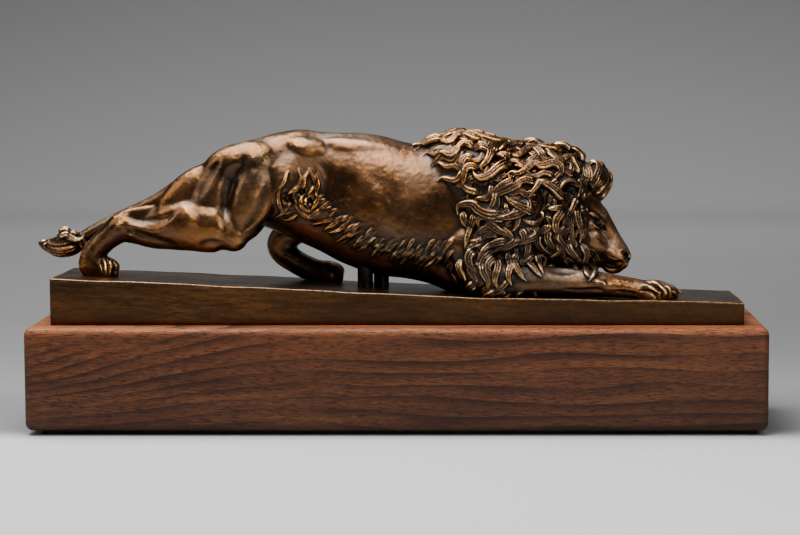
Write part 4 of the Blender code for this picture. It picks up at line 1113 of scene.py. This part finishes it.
class Nodes:
    """Short words for building a material's node tree."""

    def __init__(self, name):
        self.material = bpy.data.materials.new(name)
        self.material.use_nodes = True
        self.tree = self.material.node_tree
        self.shader = self.tree.nodes["Principled BSDF"]

    def new(self, kind, **settings):
        node = self.tree.nodes.new(kind)
        for key, value in settings.items():
            setattr(node, key, value)
        return node

    def link(self, source, target):
        self.tree.links.new(source, target)

    def feed(self, node, socket, value):
        if isinstance(value, bpy.types.NodeSocket):
            self.link(value, node.inputs[socket])
        else:
            node.inputs[socket].default_value = value

    def place(self, stretch=(1, 1, 1)):
        mapping = self.new("ShaderNodeMapping")
        self.link(self.new("ShaderNodeTexCoord").outputs["Object"], mapping.inputs["Vector"])
        mapping.inputs["Scale"].default_value = stretch
        return mapping.outputs["Vector"]

    def axes(self):
        split = self.new("ShaderNodeSeparateXYZ")
        self.link(self.place(), split.inputs[0])
        return split.outputs

    def noise(self, scale, detail=2, rough=0.5, stretch=(1, 1, 1)):
        node = self.new("ShaderNodeTexNoise")
        self.link(self.place(stretch), node.inputs["Vector"])
        for socket, number in (("Scale", scale), ("Detail", detail), ("Roughness", rough)):
            node.inputs[socket].default_value = number
        return node.outputs["Fac"]

    def value(self, name):
        return self.new("ShaderNodeAttribute", attribute_name=name).outputs["Fac"]

    def math(self, operation, a, b=0.0, c=None, clamp=False):
        node = self.new("ShaderNodeMath", operation=operation, use_clamp=clamp)
        self.feed(node, 0, a)
        self.feed(node, 1, b)
        if c is not None:
            self.feed(node, 2, c)
        return node.outputs[0]

    def ranged(self, value, low, high, to_low=0.0, to_high=1.0):
        node = self.new("ShaderNodeMapRange")
        self.feed(node, "Value", value)
        ends = {"From Min": low, "From Max": high, "To Min": to_low, "To Max": to_high}
        for socket, number in ends.items():
            node.inputs[socket].default_value = number
        return node.outputs["Result"]

    def ramp(self, value, stops):
        node = self.new("ShaderNodeValToRGB")
        self.link(value, node.inputs["Fac"])
        band = node.color_ramp
        while len(band.elements) < len(stops):
            band.elements.new(0.5)
        for element, (place, colour) in zip(band.elements, stops):
            element.position = place
            element.color = (*colour, 1)
        return node.outputs["Color"]

    def mix(self, share, a, b, kind="MIX"):
        node = self.new("ShaderNodeMix", data_type="RGBA", blend_type=kind)
        self.feed(node, 0, share)
        for socket, value in ((6, a), (7, b)):
            if isinstance(value, tuple):
                value = (*value, 1)
            self.feed(node, socket, value)
        return node.outputs[2]

    def tinted(self, colour, share, low, high):
        """The colour times another, which goes from low to high with the share."""
        return self.mix(1.0, colour, self.mix(share, low, high), "MULTIPLY")

    def bump(self, height, distance, strength=1.0, under=None):
        node = self.new("ShaderNodeBump")
        node.inputs["Strength"].default_value = strength
        node.inputs["Distance"].default_value = distance
        self.link(height, node.inputs["Height"])
        if under is not None:
            self.link(under, node.inputs["Normal"])
        return node.outputs["Normal"]

    def set(self, **sockets):
        for name, value in sockets.items():
            self.feed(self.shader, name.replace("_", " "), value)
        return self.material


# The patinas' and the wood's colours, from the darkest level to the lightest or the other way
LION_BROWNS = (
    (0.0, (0.005, 0.0035, 0.003)),
    (0.25, (0.02, 0.0125, 0.008)),
    (0.47, (0.088, 0.041, 0.0125)),
    (0.64, (0.18, 0.088, 0.03)),
    (0.8, (0.52, 0.33, 0.14)),
    (0.95, (0.95, 0.72, 0.42)),
)
# The grey of the lion's patina haze, which also paints a sheen on what faces up
LION_HAZE_AND_SHEEN = (0.16, 0.125, 0.1)
SLAB_BROWNS = (
    (0.0, (0.026, 0.011, 0.003)),
    (0.4, (0.07, 0.0275, 0.006)),
    (0.8, (0.15, 0.056, 0.011)),
)
SLAB_BARE = (0.5, 0.29, 0.15)
WALNUT_BROWNS = (
    (0.3, (0.15, 0.056, 0.021)),
    (0.44, (0.088, 0.032, 0.0125)),
    (0.58, (0.05, 0.018, 0.0075)),
    (0.8, (0.022, 0.008, 0.004)),
)
WALNUT_PORES = (0.016, 0.006, 0.003)
FELT_GREYS = ((0.3, (0.006, 0.006, 0.007)), (0.7, (0.03, 0.03, 0.033)))


def lion_bronze():
    """Brown patina: near black in hollows, worn golden on the hair's ridges, under clear wax, with
    painted shade below, a painted sheen above and painted light on the face.
    """
    n = Nodes("lion_bronze")
    fine = n.ranged(n.value("fine"), -0.4, 0.4)
    broad = n.ranged(n.value("broad"), -1.8, 1.8)
    hair = n.ranged(n.value("hairy"), 0.15, 0.8)
    upward = n.value("upward")
    patches = n.noise(30, 4, 0.6)
    clouds = n.noise(12, 3, 0.55)
    flecks = n.noise(300, 4, 0.7)
    # The colour follows the relief, softly on bare skin and strongly on the hair
    skin_level = n.math("MULTIPLY_ADD", fine, 0.5, n.math("MULTIPLY_ADD", broad, 0.46, -0.02))
    hair_level = n.math("MULTIPLY_ADD", fine, 1.4, n.math("MULTIPLY_ADD", broad, 0.7, -0.72))
    change = n.math("SUBTRACT", hair_level, skin_level)
    level = n.math("MULTIPLY_ADD", hair, change, skin_level)
    level = n.math("ADD", level, n.ranged(flecks, 0.3, 0.7, -0.05, 0.05))
    colour = n.ramp(level, LION_BROWNS)
    # Warm clouds and faded patches
    warm = n.ranged(clouds, 0.38, 0.62)
    colour = n.tinted(colour, warm, (0.8, 0.84, 0.9), (1.5, 1.08, 0.4))
    faded = n.ranged(patches, 0.35, 0.65)
    colour = n.tinted(colour, faded, (0.72, 0.72, 0.72), (1.25, 1.22, 1.2))
    # A thin grey haze in clouds over what faces up, thinner on the hair: partly patina, partly a
    # painted sheen where the light from above falls
    haze_and_sheen = n.ranged(n.noise(30, 6, 0.7), 0.44, 0.62, 0.0, 0.6)
    haze_and_sheen = n.math("MULTIPLY", haze_and_sheen, n.ranged(upward, 0.0, 0.7))
    haze_and_sheen = n.math("MULTIPLY", haze_and_sheen, n.ranged(hair, 0.0, 1.0, 1.0, 0.5))
    colour = n.mix(haze_and_sheen, colour, LION_HAZE_AND_SHEEN)
    # Painted light makes the face and forepaw lighter, where light from the right and front falls,
    # and painted shade darkens the undersides
    bare = n.ranged(hair, 0.1, 0.7, 1.0, 0.0)
    painted_face_light = n.math("MULTIPLY", n.ranged(n.axes()[0], 0.112, 0.136), bare)
    colour = n.tinted(colour, painted_face_light, (1.0, 1.0, 1.0), (2.3, 2.25, 2.2))
    # Painted shade: the more the skin faces down, the darker
    painted_underside_shade = n.ranged(upward, -0.8, 0.5)
    colour = n.tinted(colour, painted_underside_shade, (0.36, 0.33, 0.3), (1.12, 1.12, 1.12))
    rough = n.ranged(patches, 0.35, 0.65, 0.2, 0.44)
    rough = n.math("ADD", rough, n.ranged(clouds, 0.35, 0.65, 0.06, -0.05))
    rough = n.math("ADD", rough, n.ranged(level, 0.1, 0.5, 0.2, 0.0))
    dented = n.bump(n.noise(42, 3, 0.5), 0.005, 0.6)
    tooled = n.bump(n.noise(150, 4, 0.6), 0.0009, 0.6, dented)
    skin = n.bump(n.noise(1400, 3, 0.6), 0.00006, 0.5, tooled)
    return n.set(
        Base_Color=colour,
        Metallic=0.95,
        Roughness=rough,
        Normal=skin,
        Coat_Weight=0.32,
        Coat_Roughness=0.32,
        Coat_IOR=1.5,
    )


def slab_bronze():
    """Dark olive-brown patina, with the top edge worn to bare metal."""
    n = Nodes("slab_bronze")
    patches = n.noise(14, 4, 0.6, (1, 1, 2.5))
    flecks = n.noise(320, 4, 0.7)
    level = n.ranged(patches, 0.3, 0.7, 0.1, 0.6)
    level = n.math("ADD", level, n.ranged(flecks, 0.3, 0.7, -0.1, 0.1))
    worn = n.ranged(n.noise(420, 3, 0.7), 0.3, 0.55)
    bare = n.math("MULTIPLY", n.value("worn"), worn, clamp=True)
    colour = n.mix(n.math("MULTIPLY", bare, 0.7), n.ramp(level, SLAB_BROWNS), SLAB_BARE)
    rough = n.ranged(level, 0.0, 0.8, 0.42, 0.3)
    rough = n.math("ADD", rough, n.ranged(flecks, 0.3, 0.7, -0.05, 0.07))
    dented = n.bump(n.noise(24, 3, 0.5, (1, 1.6, 3)), 0.004, 0.4)
    tooled = n.bump(n.noise(60, 4, 0.5), 0.0006, 0.4, dented)
    skin = n.bump(n.noise(1100, 3, 0.6), 0.00006, 0.6, tooled)
    return n.set(
        Base_Color=colour,
        Metallic=1.0,
        Roughness=rough,
        Normal=skin,
        Coat_Weight=0.25,
        Coat_Roughness=0.32,
    )


def walnut():
    """Oiled walnut: growth rings that climb at the tail end, short dark pores along the grain."""
    n = Nodes("walnut")
    x, y, z = n.axes()
    # The rings rise steeply at the tail end, more so near the top, and level out to the head end
    climb = n.math("EXPONENT", n.math("MULTIPLY_ADD", x, -8.3, -2.08))
    lifted = n.math("MULTIPLY", climb, n.math("MULTIPLY_ADD", z, 0.9, 0.012))
    depth = n.math("MULTIPLY_ADD", y, 0.4, n.math("ADD", z, lifted))
    bend = n.math("MULTIPLY", n.noise(3.2, 2, 0.5, (1, 5, 5)), 0.05)
    sway = n.math("MULTIPLY", n.noise(26, 3, 0.5, (0.3, 1, 1)), 0.0045)
    depth = n.math("ADD", depth, n.math("ADD", bend, sway))
    rings = n.math("FRACT", n.math("MULTIPLY", depth, 92.0))
    late = n.math("POWER", rings, 3.0)
    strength = n.ranged(n.noise(34, 2, 0.5, (0.3, 1, 1)), 0.35, 0.65, 0.03, 0.42)
    broad = n.noise(1, 3, 0.55, (7, 95, 95))
    fibres = n.noise(1, 3, 0.65, (120, 1300, 1300))
    tone = n.math("MULTIPLY_ADD", late, strength, n.math("MULTIPLY", broad, 0.5))
    tone = n.math("ADD", tone, n.math("MULTIPLY_ADD", fibres, 0.6, -0.12))
    colour = n.ramp(tone, WALNUT_BROWNS)
    # Painted shade darkens the sides downwards, and a painted highlight makes the top paler, as the
    # light falls from above
    colour = n.tinted(colour, n.ranged(z, 0.0, 0.075), (0.66, 0.66, 0.68), (1.15, 1.02, 0.88))
    colour = n.tinted(colour, n.ranged(z, 0.067, 0.0715), (1.0, 1.0, 1.0), (2.3, 2.2, 2.2))
    pores = n.ranged(n.noise(1, 2, 0.6, (190, 1500, 1500)), 0.54, 0.64, 0.0, 0.85)
    colour = n.mix(pores, colour, WALNUT_PORES)
    rough = n.ranged(fibres, 0.3, 0.7, 0.4, 0.56)
    grain = n.bump(fibres, 0.00008, 0.5)
    pitted = n.bump(n.math("SUBTRACT", 1.0, pores), 0.00015, 0.5, grain)
    return n.set(
        Base_Color=colour,
        Roughness=rough,
        Normal=pitted,
        Specular_IOR_Level=0.18,
        Coat_Weight=0.06,
        Coat_Roughness=0.4,
    )


def felt():
    n = Nodes("felt")
    fuzz = n.noise(1500, 4, 0.7)
    matted = n.noise(160, 3, 0.6)
    level = n.math("MULTIPLY_ADD", fuzz, 0.6, n.math("MULTIPLY", matted, 0.4))
    rough = n.ranged(fuzz, 0.3, 0.7, 0.85, 1.0)
    return n.set(
        Base_Color=n.ramp(level, FELT_GREYS),
        Roughness=rough,
        Normal=n.bump(fuzz, 0.0003, 0.8),
        Sheen_Weight=0.4,
        Sheen_Roughness=0.5,
    )


def stage_paper():
    """Pale paper in front of the object; behind it and up the backdrop, painted shade and painted
    light grey it: a painted shadow just behind the block, then the lights' fall-off.
    """
    n = Nodes("stage_paper")
    _, y, z = n.axes()
    start, reach = STAGE_SHADE_PLACES[0], STAGE_SHADE_PLACES[-1] - STAGE_SHADE_PLACES[0]
    back = n.ranged(n.math("ADD", y, z), start, STAGE_SHADE_PLACES[-1])
    stops = [((at - start) / reach, (grey,) * 3) for at, grey in zip(STAGE_SHADE_PLACES, STAGE_PAINTED_GREYS)]
    grain = n.noise(300, 3, 0.6)
    colour = n.tinted(n.ramp(back, stops), grain, (0.97, 0.97, 0.97), (1.03, 1.03, 1.03))
    return n.set(Base_Color=colour, Roughness=0.75, Normal=n.bump(grain, 0.0001, 0.1))


def slab_piece():
    """The slab with its top finely divided, its edges softened and worn."""
    block = bmesh.new()
    bmesh.ops.create_grid(block, x_segments=SLAB_COLUMNS, y_segments=SLAB_ROWS, size=1)
    for vert in block.verts:
        x, y = vert.co.x * SLAB_LENGTH / 2, vert.co.y * SLAB_DEPTH / 2
        vert.co = (x, y, SLAB_BOTTOM + float(slab_top(x, y)))
    # The top's rim is drawn down in layers to a flat underside
    rim = [edge for edge in block.edges if edge.is_boundary]
    heights = {(round(v.co.x, 6), round(v.co.y, 6)): v.co.z for edge in rim for v in edge.verts}
    for layer in range(1, SLAB_LAYERS + 1):
        grown = bmesh.ops.extrude_edge_only(block, edges=rim)["geom"]
        rim = [part for part in grown if isinstance(part, bmesh.types.BMEdge)]
        for vert in {v for edge in rim for v in edge.verts if v.is_boundary}:
            full = heights[round(vert.co.x, 6), round(vert.co.y, 6)]
            vert.co.z = full + (SLAB_BOTTOM - full) * layer / SLAB_LAYERS
        rim = [edge for edge in rim if edge.is_boundary]
    bmesh.ops.holes_fill(block, edges=rim, sides=0)
    bmesh.ops.recalc_face_normals(block, faces=block.faces)
    edge = {"width": SLAB_EDGE, "segments": 3, "limit_method": "ANGLE"}
    edge["angle_limit"] = math.radians(40)
    mesh = modified(mesh_of(block, "slab"), ("BEVEL", edge))
    x, y, z = all_points(mesh).T
    side_gap = np.minimum(SLAB_LENGTH / 2 - np.abs(x), SLAB_DEPTH / 2 - np.abs(y))
    top_gap = SLAB_BOTTOM + slab_top(x, y) - z
    worn = np.clip(1 - np.maximum(side_gap, top_gap) / (1.6 * SLAB_EDGE), 0, 1)
    write_values(mesh, "worn", worn)
    mesh.shade_smooth()
    return put("slab_cast", mesh)


def rounded_block(name, low, high, radius, segments):
    """A box with rounded edges."""
    block = bmesh.new()
    bmesh.ops.create_cube(block, size=1)
    middle, size = (low + high) / 2, high - low
    for vert in block.verts:
        vert.co = [middle[i] + vert.co[i] * size[i] for i in range(3)]
    bmesh.ops.bevel(
        block, geom=list(block.edges), offset=radius, segments=segments, profile=0.5, affect="EDGES"
    )
    bmesh.ops.recalc_face_normals(block, faces=block.faces)
    mesh = mesh_of(block, name)
    mesh.shade_smooth()
    mesh.set_sharp_from_angle(angle=math.radians(50))
    return put(name, mesh)


def dress(piece, material, node):
    piece.data.materials.clear()
    piece.data.materials.append(material)
    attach(piece, "root")
    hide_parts(node)


bronze = lion_bronze()
for section in lion_pieces():
    dress(section, bronze, "lion")
dress(slab_piece(), slab_bronze(), "bronze_slab")
walnut_block = rounded_block("walnut_block", WALNUT_LOW, WALNUT_HIGH, WALNUT_EDGE_RADIUS, 8)
dress(walnut_block, walnut(), "walnut_plinth")
felt_sheet = rounded_block("felt_base", FELT_LOW, FELT_HIGH, FELT_EDGE_RADIUS, 3)
dress(felt_sheet, felt(), "felt_pad")


def sweep():
    """A pale floor that curves up into a plain backdrop behind the object."""
    profile = [(-STAGE_REACH, 0), (SWEEP_START, 0)]
    for i in range(1, SWEEP_STEPS + 1):
        turn = math.radians(90 * i / SWEEP_STEPS)
        along = SWEEP_START + SWEEP_RADIUS * math.sin(turn)
        profile.append((along, SWEEP_RADIUS * (1 - math.cos(turn))))
    profile.append((SWEEP_START + SWEEP_RADIUS, STAGE_REACH))
    points = [(x, y, z) for x in (-STAGE_REACH, STAGE_REACH) for y, z in profile]
    count = len(profile)
    faces = [(i, i + count, i + count + 1, i + 1) for i in range(count - 1)]
    mesh = bpy.data.meshes.new("stage_sweep")
    mesh.from_pydata(points, [], faces)
    mesh.shade_smooth()
    stage = put("stage_sweep", mesh)
    stage.data.materials.append(stage_paper())


def softbox(name, place, target, size, power):
    """A rectangular soft light at a place, facing a target."""
    lamp = bpy.data.lights.new(name, "AREA")
    lamp.shape = "RECTANGLE"
    lamp.size, lamp.size_y = size
    lamp.energy = power
    made = put(name, lamp)
    made.location = place
    made.rotation_euler = (Vector(target) - Vector(place)).to_track_quat("-Z", "Y").to_euler()


def camera():
    lens = bpy.data.cameras.new("camera")
    lens.lens = FOCAL_LENGTH
    lens.sensor_width = SENSOR_WIDTH
    lens.shift_x = CAMERA_SHIFT
    made = put("camera", lens)
    made.location = CAMERA_PLACE
    made.rotation_euler = (math.radians(90 - CAMERA_DOWN), 0, 0)
    bpy.context.scene.camera = made


sweep()
for settings in SOFTBOXES:
    softbox(*settings)
camera()
world = bpy.data.worlds.new("studio")
bpy.context.scene.world = world
world.use_nodes = True
world.node_tree.nodes["Background"].inputs[0].default_value = WORLD_GREY
